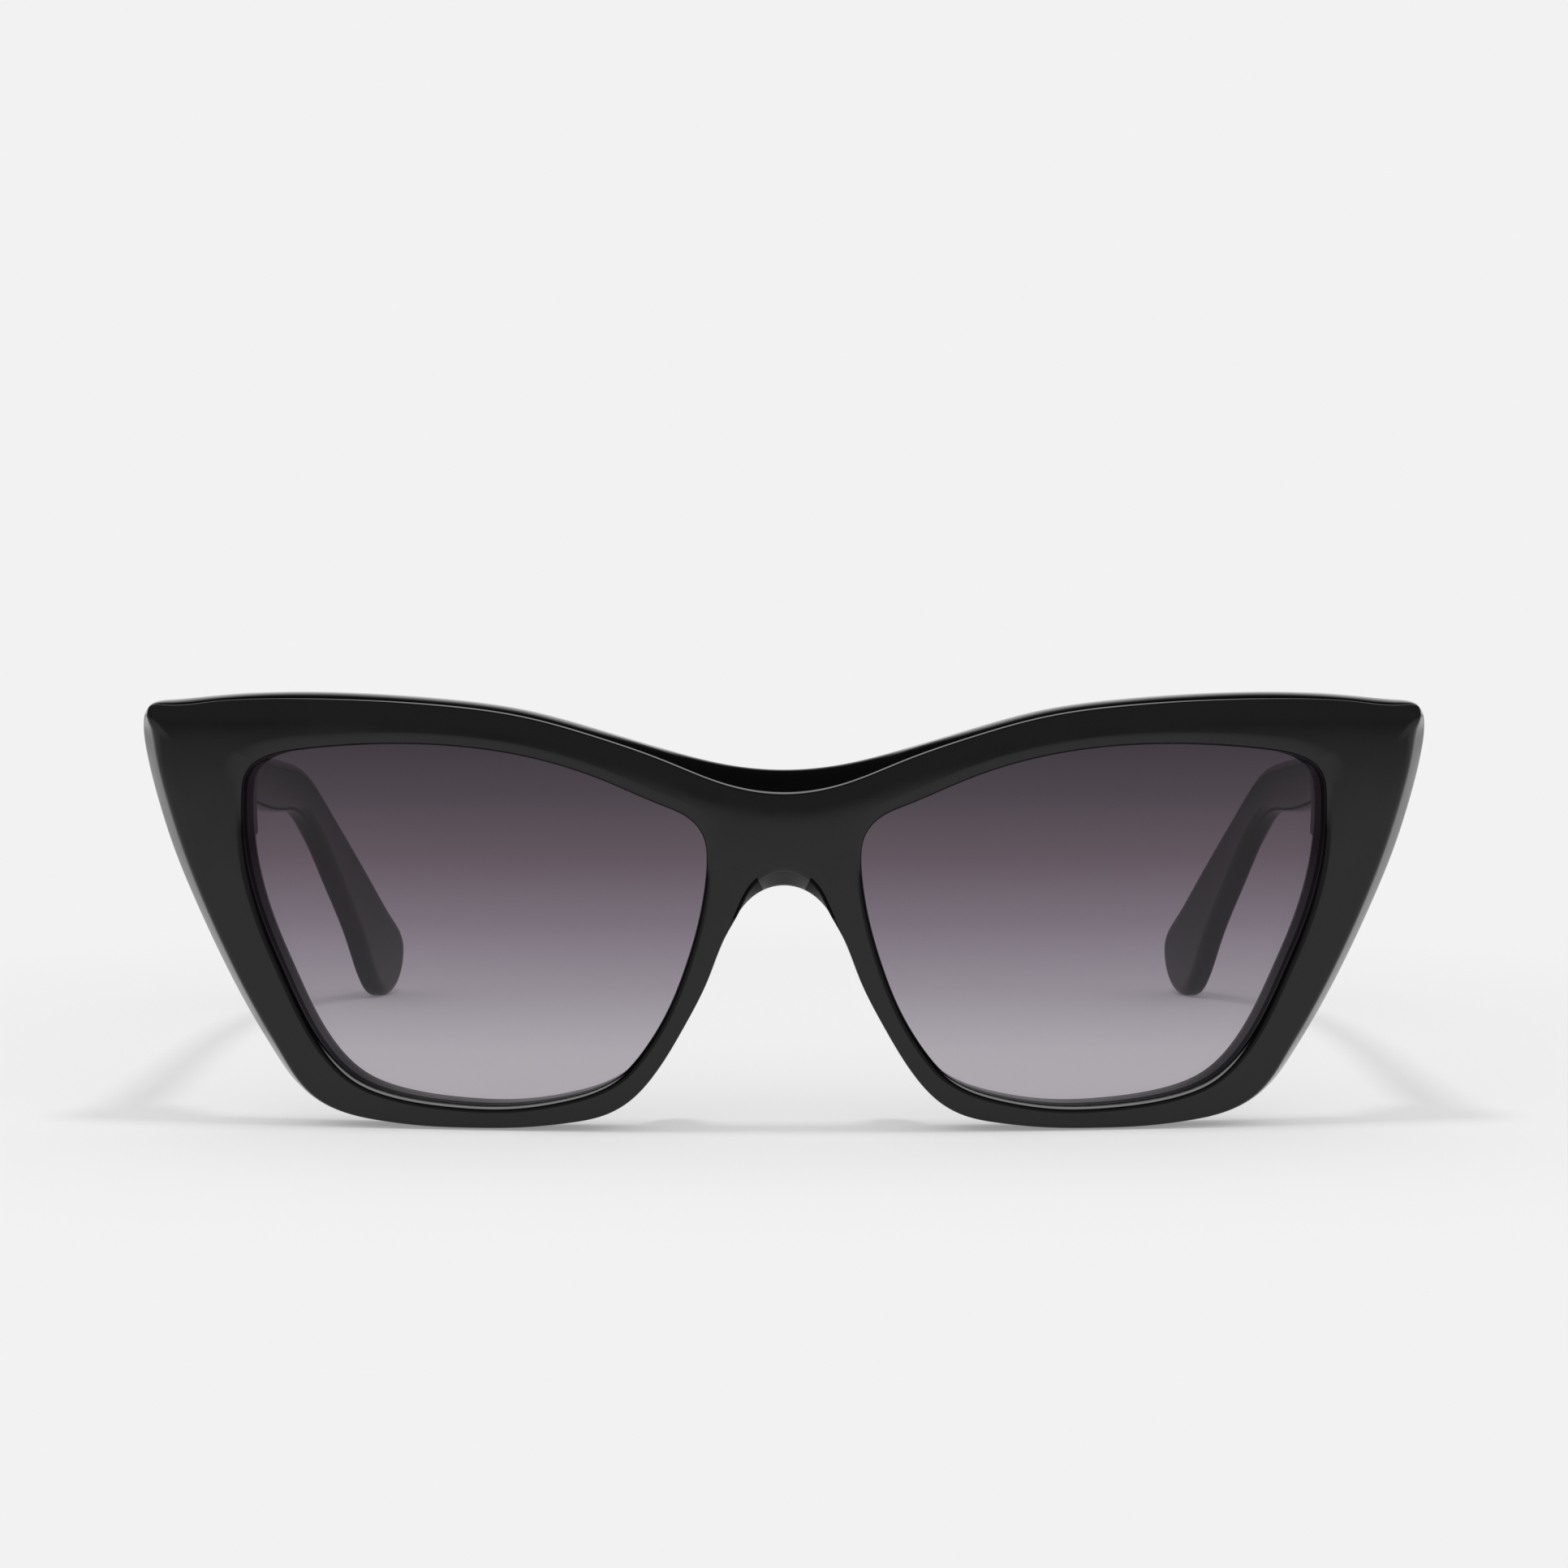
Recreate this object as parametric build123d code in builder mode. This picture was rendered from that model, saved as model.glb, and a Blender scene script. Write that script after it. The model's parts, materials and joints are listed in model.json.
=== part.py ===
"""Cat-eye sunglasses: acetate front and temples, gradient lenses, five-barrel hinges.

Millimetres. +X is the wearer's left, +Z is up and the front faces -Y. The origin is on the
floor, at the middle of the glasses' box, as they stand with the temples open.
"""
import os
from math import asin, cos, hypot, radians, sin, sqrt

from build123d import *

os.makedirs("parts", exist_ok=True)

# ---------------------------------------------------------------- driving dimensions
# Front
wrap_radius = 300.0         # the front bends round a vertical axis at this radius
front_thickness = 6.0
flare_depth = 3.5           # how far back the facet round the outer edge runs
eye_x = 36.0                # centre line to the middle of each eye
end_rise = 1.6              # the end piece stands behind the rim by this much at the joint
end_width = 12.0            # flat joint face, inwards from the tip of the wing
end_bottom = 32.5           # height of the end piece's lower edge
end_slope = 3.5             # run of the ramp from the rim up to the joint face
end_chamfer = 1.2           # lower edge of the joint face
joint_gap = 0.05            # end piece to temple, when open
crease_width = 0.15         # polished facet round the front face
rim_bevel = 0.55            # softened edge of each eye opening
back_bevel = 0.7            # relieved outer edge at the back

# Lenses
lens_setback = 2.4          # front face to the lens
lens_thickness = 2.0
groove_depth = 0.9          # lens bite into the rim
lens_clearance = 0.05

# Nose pads
pad_length = 17.0
pad_width = 2.4
pad_projection = 4.6        # how far the pad stands behind the rim
pad_height = 14.2           # height of the pad's middle
pad_offset = 11.9           # centre line to the pad's middle
pad_lean = 27.5             # degrees from upright, along the nasal rim
pad_round = 0.9

# Temples
temple_reach = 127.0        # joint face to the end of the tip, front to back
temple_inset = 6.8          # tip of the wing to the temple's inner face, at the joint
temple_thickness = 4.2      # at the joint
tip_thickness = 3.4
temple_round = 1.2
tip_radius = 6.2            # round end of the paddle
tip_inset = 9.1             # how far the tip curves in from the inner face at the joint

# Hinges
barrel_count = 5
barrel_height = 1.5
barrel_gap = 0.06           # running gap between barrels
barrel_radius = 1.7
hinge_stand_off = 0.3       # barrel to the joint face, and to the temple's inner face
hinge_height = 40.3         # middle of the barrels
leaf_thickness = 1.0
front_leaf_width = 4.6
temple_leaf_length = 9.0
leaf_height = 6.0

# Hinge screws
screw_radius = 0.7
screw_clearance = 0.05
head_radius = 1.15
head_height = 0.6
slot_width = 0.35
slot_depth = 0.3
slot_turn = 30.0            # where the screw came to rest, degrees

# Core wires
wire_height = 2.4
wire_thickness = 1.2
wire_clearance = 0.05

# ---------------------------------------------------------------- outlines
# Half the front's outline, clockwise from the top of the bridge to the top of the nose
# arch: (x, height, width of the facet there). Rim stations count x from the eye's middle.
BRIDGE_TOP = [(0.0, 40.2, 2.4), (6.5, 40.8, 1.9), (13.0, 42.4, 1.0)]
RIM = [
    (-15.5, 44.6, 0.6), (-7.0, 46.85, 0.55), (2.0, 48.05, 0.55), (11.5, 48.65, 0.6),
    (21.0, 48.75, 0.7), (28.5, 48.3, 0.8), (33.8, 47.8, 0.9), (35.9, 47.35, 1.0),
    (36.75, 46.3, 1.2), (37.0, 44.6, 1.6), (36.6, 41.5, 1.85), (35.2, 36.0, 1.8),
    (33.35, 30.45, 1.75), (31.0, 24.9, 1.6), (28.0, 18.6, 1.5), (24.5, 12.15, 1.4),
    (21.6, 7.5, 1.3), (19.7, 4.9, 1.1), (17.4, 2.95, 0.8), (14.0, 1.45, 0.5),
    (9.5, 0.55, 0.4), (4.0, 0.1, 0.3), (-1.0, 0.0, 0.3), (-7.0, 0.15, 0.3),
    (-12.0, 0.7, 0.3), (-16.0, 1.6, 0.3), (-18.6, 3.0, 0.3), (-21.4, 5.9, 0.25),
]
NOSE_ARCH = [
    (11.0, 11.75, 0.2), (8.3, 17.2, 0.2), (6.5, 21.7, 0.3), (5.0, 24.4, 0.8),
    (3.0, 26.4, 1.9), (0.0, 27.3, 2.6),
]

# Eye opening in the plane of the eye: (outwards from the eye's middle, height), clockwise.
EYE = [
    (6.0, 43.1), (13.0, 42.9), (18.3, 42.4), (22.3, 41.55), (24.1, 40.5), (24.95, 39.2),
    (25.25, 37.5), (25.3, 35.2), (25.0, 30.9), (24.1, 26.6), (22.7, 22.4), (20.6, 17.6),
    (18.3, 12.8), (15.6, 8.6), (12.3, 5.6), (8.0, 3.95), (1.0, 2.95), (-5.5, 2.85),
    (-11.5, 3.75), (-15.4, 4.95), (-18.0, 6.5), (-20.3, 9.1), (-23.0, 13.6), (-25.0, 18.6),
    (-26.2, 22.6), (-27.0, 26.5), (-27.35, 30.2), (-27.0, 32.9), (-25.4, 34.95),
    (-22.4, 36.4), (-16.0, 39.1), (-9.0, 41.35), (-2.0, 42.6),
]

# Temple from the side: (distance behind the joint face, height). The hook's stations
# count from the middle of the tip's round end.
SHAFT_TOP = [(0.0, 46.4), (26.0, 42.4), (62.0, 38.2), (79.0, 36.5)]
HOOK_TOP = [(-32.6, 34.8), (-22.8, 30.1), (-12.6, 23.2), (-4.1, 16.4), (1.9, 11.6)]
HOOK_BOTTOM = [(-6.0, 2.4), (-13.1, 9.3), (-22.6, 18.2), (-31.1, 25.2), (-37.6, 28.5)]
SHAFT_BOTTOM = [(75.0, 30.1), (52.0, 32.2), (26.0, 34.1), (0.0, 34.2)]

# Temple from above: (distance behind the joint face, how far its inner face is
# outside the line of the joint), straight between the first two stations. The hook's
# last station is the tip's inset.
BOW = [(0.0, 0.0), (14.0, 0.0), (42.0, 1.05), (72.0, 1.5), (90.0, 0.2), (105.0, -3.1)]


# ---------------------------------------------------------------- geometry helpers
def sag(x):
    """How far the front's face lies behind its foremost point, at x."""
    return wrap_radius - sqrt(wrap_radius**2 - x**2)


def mirrored(half):
    """The whole clockwise outline, from a right half that starts and ends at x = 0."""
    return half + [(-x, *rest) for x, *rest in reversed(half[1:-1])]


def pushed_out(points, distances):
    """Each point of a clockwise loop, moved outwards by its own distance."""
    moved = []
    for i, point in enumerate(points):
        before = points[i - 1]
        after = points[(i + 1) % len(points)]
        run = after[0] - before[0]
        rise = after[1] - before[1]
        length = hypot(run, rise)
        moved.append((
            point[0] - rise / length * distances[i],
            point[1] + run / length * distances[i],
        ))
    return moved


def grown(points, distance):
    """A clockwise loop grown outwards by one distance."""
    return pushed_out(points, [distance] * len(points))


# ---------------------------------------------------------------- derived places
STATIONS = mirrored(
    BRIDGE_TOP + [(eye_x + u, z, flare) for u, z, flare in RIM] + NOSE_ARCH
)
OUTLINE = [(x, z) for x, z, flare in STATIONS]
half_width = max(x for x, z in OUTLINE)
height = max(z for x, z in OUTLINE)

temple_inner_x = half_width - temple_inset
joint_depth = sag(half_width - end_width / 2) + front_thickness + end_rise
overall_depth = joint_depth + temple_reach
front_y = -overall_depth / 2
joint_y = front_y + joint_depth
wrap_centre = (0, front_y + wrap_radius)

hinge_x = temple_inner_x - barrel_radius - hinge_stand_off
hinge_y = joint_y + barrel_radius + hinge_stand_off


def behind(depth):
    """The upright plane at a depth behind the foremost point, facing forwards."""
    return Plane.XZ.offset(-(front_y + depth))


def eye_plane(side):
    """The plane that touches the front's face at one eye, with its normal forwards."""
    angle = side * asin(eye_x / wrap_radius)
    return Plane(
        origin=(side * eye_x, front_y + sag(eye_x), 0),
        x_dir=(cos(angle), sin(angle), 0),
        z_dir=(sin(angle), -cos(angle), 0),
    )


def eye_loop(side, growth=0.0):
    """The eye opening's outline for one side, grown by an amount."""
    return [(side * u, z) for u, z in grown(EYE, growth)]


def shell_plan(front_depth, back_depth):
    """Plan of a curved plate that follows the front, between two depths."""
    with BuildSketch() as plan:
        with Locations(wrap_centre):
            Circle(wrap_radius - front_depth)
            Circle(wrap_radius - back_depth, mode=Mode.SUBTRACT)
    return plan.sketch


def ring_band(at, shape, depths):
    """Ruled band between two closed curves that follow the front's curved face.

    at: points (x, height) on the face, shape(depth): how far each point is pushed out
    there, depths: how far behind the face the two curves run.
    """
    curves = []
    for depth in depths:
        loop = pushed_out(at, shape(depth))
        curves.append(Edge.make_spline(
            [Vector(x, front_y + sag(x) + depth, z) for x, z in loop], periodic=True
        ))
    return Face.make_surface_from_curves(*curves)


def largest(pieces):
    """The biggest of the solids that a cut leaves."""
    return pieces.sort_by(SortBy.VOLUME)[-1]


def on_face(side):
    """The eye opening's edge on the front's curved face: (x, height), clockwise."""
    angle = asin(eye_x / wrap_radius)
    points = [(side * (eye_x + u * cos(angle)), z) for u, z in EYE]
    return points if side > 0 else points[::-1]


def softened(depth):
    """Push-out of the facet round an eye opening."""
    return [rim_bevel - depth] * len(EYE)


# ---------------------------------------------------------------- front
def flared(depth):
    """Push-out of the wide facet, which reaches the outline flare_depth behind the face."""
    return [flare * (depth / flare_depth - 1) for x, z, flare in STATIONS]


def creased(depth):
    """Push-out of the narrow polished facet between the face and the wide one."""
    return [depth - flare - crease_width for x, z, flare in STATIONS]


def relieved(depth):
    """Push-out of the facet round the back edge."""
    return [front_thickness - back_bevel - depth] * len(STATIONS)


outer_facets = [
    ring_band(OUTLINE, flared, (-0.8, front_thickness + 0.8)),
    ring_band(OUTLINE, creased, (-0.3, 1.0)),
    ring_band(OUTLINE, relieved, (front_thickness - 1.5 * back_bevel, front_thickness + 0.3)),
]

rim_bands = [ring_band(on_face(side), softened, (-0.3, rim_bevel + 0.3)) for side in (1, -1)]

# ---------------------------------------------------------------- lenses and their grooves
def eye_shell(growth, front_depth, back_depth):
    """Curved plate in the shape of the left eye opening, grown by an amount."""
    with BuildPart() as shell:
        with BuildSketch(eye_plane(1).offset(-joint_depth)):
            with BuildLine():
                Spline(*eye_loop(1, growth), periodic=True)
            make_face()
        extrude(amount=2 * joint_depth)
        with BuildSketch():
            add(shell_plan(front_depth, back_depth))
        extrude(amount=height, mode=Mode.INTERSECT)
    return shell.part


lens_back = lens_setback + lens_thickness
groove = eye_shell(groove_depth, lens_setback - lens_clearance, lens_back + lens_clearance)
opening = eye_shell(0, -joint_depth, 2 * joint_depth)

with BuildPart() as lens_left:
    add(eye_shell(groove_depth - lens_clearance, lens_setback, lens_back))

# ---------------------------------------------------------------- front frame
with BuildPart() as end_pieces:
    # flat face that the temple closes against, with a ramp up to it from the rim. The
    # front of the block stays behind the wide facet.
    inner = half_width - end_width
    outer = half_width + end_chamfer
    rim_back = joint_y - end_rise
    with BuildSketch(Plane.XY.offset(end_bottom)):
        with BuildLine():
            Polyline(
                (inner - end_slope, rim_back - end_slope),
                (inner, joint_y),
                (outer, joint_y),
                (outer, front_y + sag(outer) + flare_depth),
                close=True,
            )
        make_face()
    extrude(amount=height - end_bottom + 1)
    joint_edges = end_pieces.edges().group_by(Axis.Y)[-1]
    chamfer(joint_edges.sort_by(Axis.Z)[0], end_chamfer)
    with BuildSketch(behind(joint_depth + 1)):
        with BuildLine():
            Spline(*OUTLINE, periodic=True)
        make_face()
    extrude(amount=joint_depth, mode=Mode.INTERSECT)
    for cutter in (opening, groove):
        add(cutter, mode=Mode.SUBTRACT)
    mirror(about=Plane.YZ)

# ---------------------------------------------------------------- hinges
barrel_pitch = barrel_height + barrel_gap
hinge_bottom = hinge_height - (barrel_count * barrel_pitch - barrel_gap) / 2
hinge_top = hinge_bottom + barrel_count * barrel_pitch - barrel_gap
leaf_bottom = hinge_height - leaf_height / 2
bore_radius = screw_radius + screw_clearance


def barrel_base(index):
    """Height of one barrel's lower face, counted from the bottom."""
    return hinge_bottom + index * barrel_pitch


with BuildPart() as front_hinge_left:
    # leaf let into the end piece, flush with the joint face
    with BuildSketch(Plane.XY.offset(leaf_bottom)):
        with Locations((hinge_x + barrel_radius, joint_y)):
            Rectangle(front_leaf_width, leaf_thickness, align=(Align.MAX, Align.MAX))
    extrude(amount=leaf_height)
    # outer and middle barrels, with webs to the leaf
    for index in range(0, barrel_count, 2):
        with BuildSketch(Plane.XY.offset(barrel_base(index))):
            with Locations((hinge_x, hinge_y)):
                Circle(barrel_radius)
            with Locations((hinge_x, joint_y - leaf_thickness / 2)):
                Rectangle(2 * barrel_radius, hinge_y - joint_y + leaf_thickness / 2,
                          align=(Align.CENTER, Align.MIN))
        extrude(amount=barrel_height)
    # screw bore, with a counterbore for the head
    with BuildSketch(Plane.XY.offset(hinge_bottom)):
        with Locations((hinge_x, hinge_y)):
            Circle(bore_radius)
    extrude(amount=hinge_top - hinge_bottom, mode=Mode.SUBTRACT)
    with BuildSketch(Plane.XY.offset(hinge_top - head_height)):
        with Locations((hinge_x, hinge_y)):
            Circle(head_radius + screw_clearance)
    extrude(amount=head_height, mode=Mode.SUBTRACT)

with BuildPart() as temple_hinge_left:
    # leaf let into the temple, flush with its inner face
    with BuildSketch(Plane.XY.offset(leaf_bottom)):
        with Locations((temple_inner_x, hinge_y)):
            Rectangle(leaf_thickness, temple_leaf_length, align=(Align.MIN, Align.MIN))
    extrude(amount=leaf_height)
    # the two barrels between
    for index in range(1, barrel_count, 2):
        with BuildSketch(Plane.XY.offset(barrel_base(index))):
            with Locations((hinge_x, hinge_y)):
                Circle(barrel_radius)
                Rectangle(temple_inner_x - hinge_x + leaf_thickness / 2, barrel_radius,
                          align=(Align.MIN, Align.MIN))
        extrude(amount=barrel_height)
    with BuildSketch(Plane.XY.offset(hinge_bottom)):
        with Locations((hinge_x, hinge_y)):
            Circle(bore_radius)
    extrude(amount=hinge_top - hinge_bottom, mode=Mode.SUBTRACT)

with BuildPart() as hinge_screw_left:
    with BuildSketch(Plane.XY.offset(hinge_bottom)):
        with Locations((hinge_x, hinge_y)):
            Circle(screw_radius)
    extrude(amount=hinge_top - hinge_bottom)
    with BuildSketch(Plane.XY.offset(hinge_top - head_height)):
        with Locations((hinge_x, hinge_y)):
            Circle(head_radius)
    extrude(amount=head_height)
    with BuildSketch(Plane.XY.offset(hinge_top - slot_depth)):
        with Locations((hinge_x, hinge_y)):
            Rectangle(2 * head_radius, slot_width, rotation=slot_turn)
    extrude(amount=slot_depth, mode=Mode.SUBTRACT)

# ---------------------------------------------------------------- front
with BuildPart() as front_frame:
    # curved plate, cut to the outline
    with BuildSketch(Plane.XY.offset(-1)):
        add(shell_plan(0, front_thickness))
    extrude(amount=height + 2)
    with BuildSketch(behind(joint_depth + 1)):
        with BuildLine():
            Spline(*OUTLINE, periodic=True)
        make_face()
    extrude(amount=joint_depth + 2, mode=Mode.INTERSECT)

    # eye openings, with a groove all round for the lens and softened front edges
    for side in (1, -1):
        for cutter in (opening, groove):
            add(cutter if side > 0 else cutter.mirror(Plane.YZ), mode=Mode.SUBTRACT)
    for band in rim_bands:
        add(largest(front_frame.part.split(band, Keep.ALL)), mode=Mode.REPLACE)

    # facets round the outer edge
    for facet in outer_facets:
        add(largest(front_frame.part.split(facet, Keep.ALL)), mode=Mode.REPLACE)

    add(end_pieces.part)

    # pockets for the hinge leaves
    for side in (1, -1):
        leaf = front_hinge_left.part
        add(leaf if side > 0 else leaf.mirror(Plane.YZ), mode=Mode.SUBTRACT)

# ---------------------------------------------------------------- temples
temple_start = joint_y + joint_gap
hook_y = joint_y + temple_reach - tip_radius    # middle of the tip's round end


def side_profile():
    """The temple's outline from the side, as (y, height) from joint top to joint bottom."""
    round_end = [
        (tip_radius * sin(radians(turn)), tip_radius - tip_radius * cos(radians(turn)))
        for turn in (100, 60, 20, -20)
    ]
    hook = HOOK_TOP + round_end + HOOK_BOTTOM
    return (
        [(temple_start + s, z) for s, z in SHAFT_TOP]
        + [(hook_y + s, z) for s, z in hook]
        + [(temple_start + s, z) for s, z in SHAFT_BOTTOM]
    )


def bow_line(outwards):
    """Draws the temple's line from above, some way out from its inner face.

    It is straight beside the hinge and bowed behind it. The bowed curve is returned.
    """
    points = [
        Vector(temple_inner_x + bow + outwards(s), temple_start + s)
        for s, bow in BOW + [(hook_y - temple_start, -tip_inset)]
    ]
    straight = Line(*points[:2])
    return Spline(*points[1:], tangents=(straight % 1, points[-1] - points[-2]))


def outer_face(s):
    """The temple's thickness at a distance behind the joint face."""
    return temple_thickness + (tip_thickness - temple_thickness) * s / temple_reach


# ---------------------------------------------------------------- core wires
# midway between the temple's upper and lower edges, from the hinge leaf to the paddle
wire_line = [(hinge_y, hinge_height)]
wire_line += [
    (joint_y + (s + t) / 2, (z + w) / 2)
    for (s, z), (t, w) in zip(SHAFT_TOP[1:], SHAFT_BOTTOM[-2::-1])
]
wire_line += [
    (hook_y + (s + t) / 2, (z + w) / 2)
    for (s, z), (t, w) in zip(HOOK_TOP[:4], HOOK_BOTTOM[::-1])
]


def core_wire(growth):
    """Flat wire against the hinge leaf, grown all round by a clearance."""
    with BuildPart() as wire:
        with BuildSketch(Plane.YZ.offset(half_width - 5 * temple_inset)):
            with BuildLine() as middle:
                Spline(*wire_line)
            trace(middle.line, wire_height + 2 * growth)
        extrude(amount=6 * temple_inset)
        with BuildSketch():
            with BuildLine() as bend:
                bow_line(lambda s: leaf_thickness + wire_thickness / 2)
            trace(bend.line, wire_thickness + 2 * growth)
        extrude(amount=height, mode=Mode.INTERSECT)
    return wire.part


with BuildPart() as core_wire_left:
    add(core_wire(0))
    add(temple_hinge_left.part, mode=Mode.SUBTRACT)

with BuildPart() as temple_left:
    with BuildSketch(Plane.YZ.offset(half_width - 5 * temple_inset)):
        with BuildLine():
            edge = Spline(*side_profile())
            Line(edge @ 1, edge @ 0)
        make_face()
    extrude(amount=6 * temple_inset)
    with BuildSketch() as temple_plan:
        with BuildLine():
            inner_line = bow_line(lambda s: 0)
            outer_line = bow_line(outer_face)
            Line((temple_inner_x, temple_start), (temple_inner_x + outer_face(0), temple_start))
            inner_end = Line(inner_line @ 1, inner_line @ 1 + 2 * tip_radius * (inner_line % 1))
            outer_end = Line(outer_line @ 1, outer_line @ 1 + 2 * tip_radius * (outer_line % 1))
            Line(inner_end @ 1, outer_end @ 1)
        make_face()
    extrude(amount=height, mode=Mode.INTERSECT)
    joint_edges = temple_left.faces().sort_by(Axis.Y)[0].edges()
    long_edges = temple_left.edges().filter_by(lambda e: e.length > SHAFT_TOP[0][1] / 4)
    fillet(long_edges - joint_edges, temple_round)
    # pocket for the hinge leaf and the wire's way behind it
    for cutter in (temple_hinge_left.part, core_wire(wire_clearance)):
        add(cutter, mode=Mode.SUBTRACT)

# ---------------------------------------------------------------- nose pads
with BuildPart() as nose_pad_left:
    with BuildSketch(behind(front_thickness - 1)):
        with Locations((pad_offset, pad_height)):
            SlotOverall(pad_length, pad_width, rotation=90 + pad_lean)
    extrude(amount=-(pad_projection + 1))
    fillet(nose_pad_left.faces().sort_by(Axis.Y)[-1].edges(), pad_round)
    with BuildSketch():
        with Locations(wrap_centre):
            Circle(wrap_radius - front_thickness)
    extrude(amount=height, mode=Mode.INTERSECT)

# ---------------------------------------------------------------- both sides
LEFT = {
    "lens_left": lens_left,
    "nose_pad_left": nose_pad_left,
    "temple_left": temple_left,
    "front_hinge_left": front_hinge_left,
    "temple_hinge_left": temple_hinge_left,
    "hinge_screw_left": hinge_screw_left,
    "core_wire_left": core_wire_left,
}
front_frame.part.label = "front_frame"
export_step(front_frame.part, "parts/front_frame.step")
for label, piece in LEFT.items():
    piece.part.label = label
    export_step(piece.part, f"parts/{label}.step")
    with BuildPart() as other:
        mirror(piece.part, about=Plane.YZ)
    other.part.label = label.replace("left", "right")
    export_step(other.part, f"parts/{other.part.label}.step")
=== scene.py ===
"""Cat-eye sunglasses in black acetate with gradient lenses, dressed for rendering.

Metres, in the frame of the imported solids: +X is the wearer's left, +Z is up and the front
faces -Y.
"""

import json
import logging
from collections.abc import Sequence
from dataclasses import dataclass
from enum import Enum
from math import cos, hypot, pi, radians, sin, sqrt

import bmesh
import bpy
import numpy as np
from mathutils import Matrix, Vector

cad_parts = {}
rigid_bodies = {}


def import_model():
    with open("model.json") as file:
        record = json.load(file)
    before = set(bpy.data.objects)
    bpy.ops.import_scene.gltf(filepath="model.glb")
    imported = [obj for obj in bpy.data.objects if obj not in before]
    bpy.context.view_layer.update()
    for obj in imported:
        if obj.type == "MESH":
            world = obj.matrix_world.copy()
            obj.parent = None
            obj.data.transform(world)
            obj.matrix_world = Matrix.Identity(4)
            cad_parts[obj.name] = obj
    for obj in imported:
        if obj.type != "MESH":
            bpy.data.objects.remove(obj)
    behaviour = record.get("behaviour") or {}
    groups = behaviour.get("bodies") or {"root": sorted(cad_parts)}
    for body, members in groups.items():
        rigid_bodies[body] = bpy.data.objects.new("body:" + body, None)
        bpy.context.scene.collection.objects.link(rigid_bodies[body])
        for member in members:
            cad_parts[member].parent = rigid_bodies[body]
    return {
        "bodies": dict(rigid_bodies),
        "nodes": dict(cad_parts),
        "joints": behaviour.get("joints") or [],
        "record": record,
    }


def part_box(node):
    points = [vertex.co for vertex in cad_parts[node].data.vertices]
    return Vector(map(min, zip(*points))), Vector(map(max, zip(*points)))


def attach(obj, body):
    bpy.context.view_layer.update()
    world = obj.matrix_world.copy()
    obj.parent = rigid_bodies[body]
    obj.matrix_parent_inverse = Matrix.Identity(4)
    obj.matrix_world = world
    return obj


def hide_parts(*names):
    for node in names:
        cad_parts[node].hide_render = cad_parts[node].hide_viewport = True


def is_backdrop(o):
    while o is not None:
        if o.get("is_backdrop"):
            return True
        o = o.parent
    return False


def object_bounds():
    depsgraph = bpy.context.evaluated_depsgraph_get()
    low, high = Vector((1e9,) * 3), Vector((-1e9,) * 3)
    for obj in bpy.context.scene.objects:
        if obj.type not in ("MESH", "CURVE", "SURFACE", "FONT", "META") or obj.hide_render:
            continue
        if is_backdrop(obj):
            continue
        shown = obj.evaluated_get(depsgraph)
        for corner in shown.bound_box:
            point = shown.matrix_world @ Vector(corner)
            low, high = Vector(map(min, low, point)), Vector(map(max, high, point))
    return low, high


LOG = logging.getLogger("sunglasses")
MM = 0.001
ON_PLANE = 0.0005                   # a corner this near to a cut, in millimetres, is on it
NOISE_SPAN = (0.3, 0.7)             # nearly all of a noise pattern's values lie between
Pair = tuple[float, float]


# ---------------------------------------------------------------- colours and nodes
def srgb(code: str) -> tuple[float, float, float, float]:
    """Turn an sRGB hex colour into linear light.

    Args:
        code: Six hex digits after a hash.

    Returns:
        Linear red, green, blue and an alpha of 1.
    """
    channels = [int(code[i:i + 2], 16) / 255 for i in (1, 3, 5)]
    linear = [c / 12.92 if c <= 0.04045 else ((c + 0.055) / 1.055) ** 2.4 for c in channels]
    return (*linear, 1.0)


def add_node(
    tree: bpy.types.NodeTree,
    kind: str,
    inputs: dict | None = None,
    **settings: object,
) -> bpy.types.Node:
    """Add a node with its settings, values and links.

    Args:
        tree: The node tree that gets the node.
        kind: The node's type, without the "ShaderNode" that starts it.
        inputs: For each input, by name or number, a value or the socket to link to it.
        **settings: The node's own properties.

    Returns:
        The new node.
    """
    node = tree.nodes.new(f"ShaderNode{kind}")
    for name, value in settings.items():
        setattr(node, name, value)
    for name, value in (inputs or {}).items():
        if isinstance(value, bpy.types.NodeSocket):
            tree.links.new(value, node.inputs[name])
        else:
            node.inputs[name].default_value = value
    return node


def new_material(name: str) -> bpy.types.Material:
    """Make a node material that has no nodes yet.

    Args:
        name: Its name.

    Returns:
        The empty material.
    """
    material = bpy.data.materials.new(name)
    material.use_nodes = True
    material.node_tree.nodes.clear()
    return material


def finish_with(material: bpy.types.Material, shader: bpy.types.NodeSocket) -> None:
    """Link a shader to a material's output."""
    add_node(material.node_tree, "OutputMaterial", {"Surface": shader})


@dataclass(frozen=True)
class Fade:
    """A value that runs from low to high while a measure runs from start to end."""

    start: float
    end: float
    low: float = 0.0
    high: float = 1.0

    def over(self, measure: bpy.types.NodeSocket) -> dict:
        """Fill in the node that draws the fade.

        Args:
            measure: The socket that tells the measure.

        Returns:
            The node's inputs.
        """
        return {
            "Value": measure, "From Min": self.start, "From Max": self.end,
            "To Min": self.low, "To Max": self.high,
        }


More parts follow.
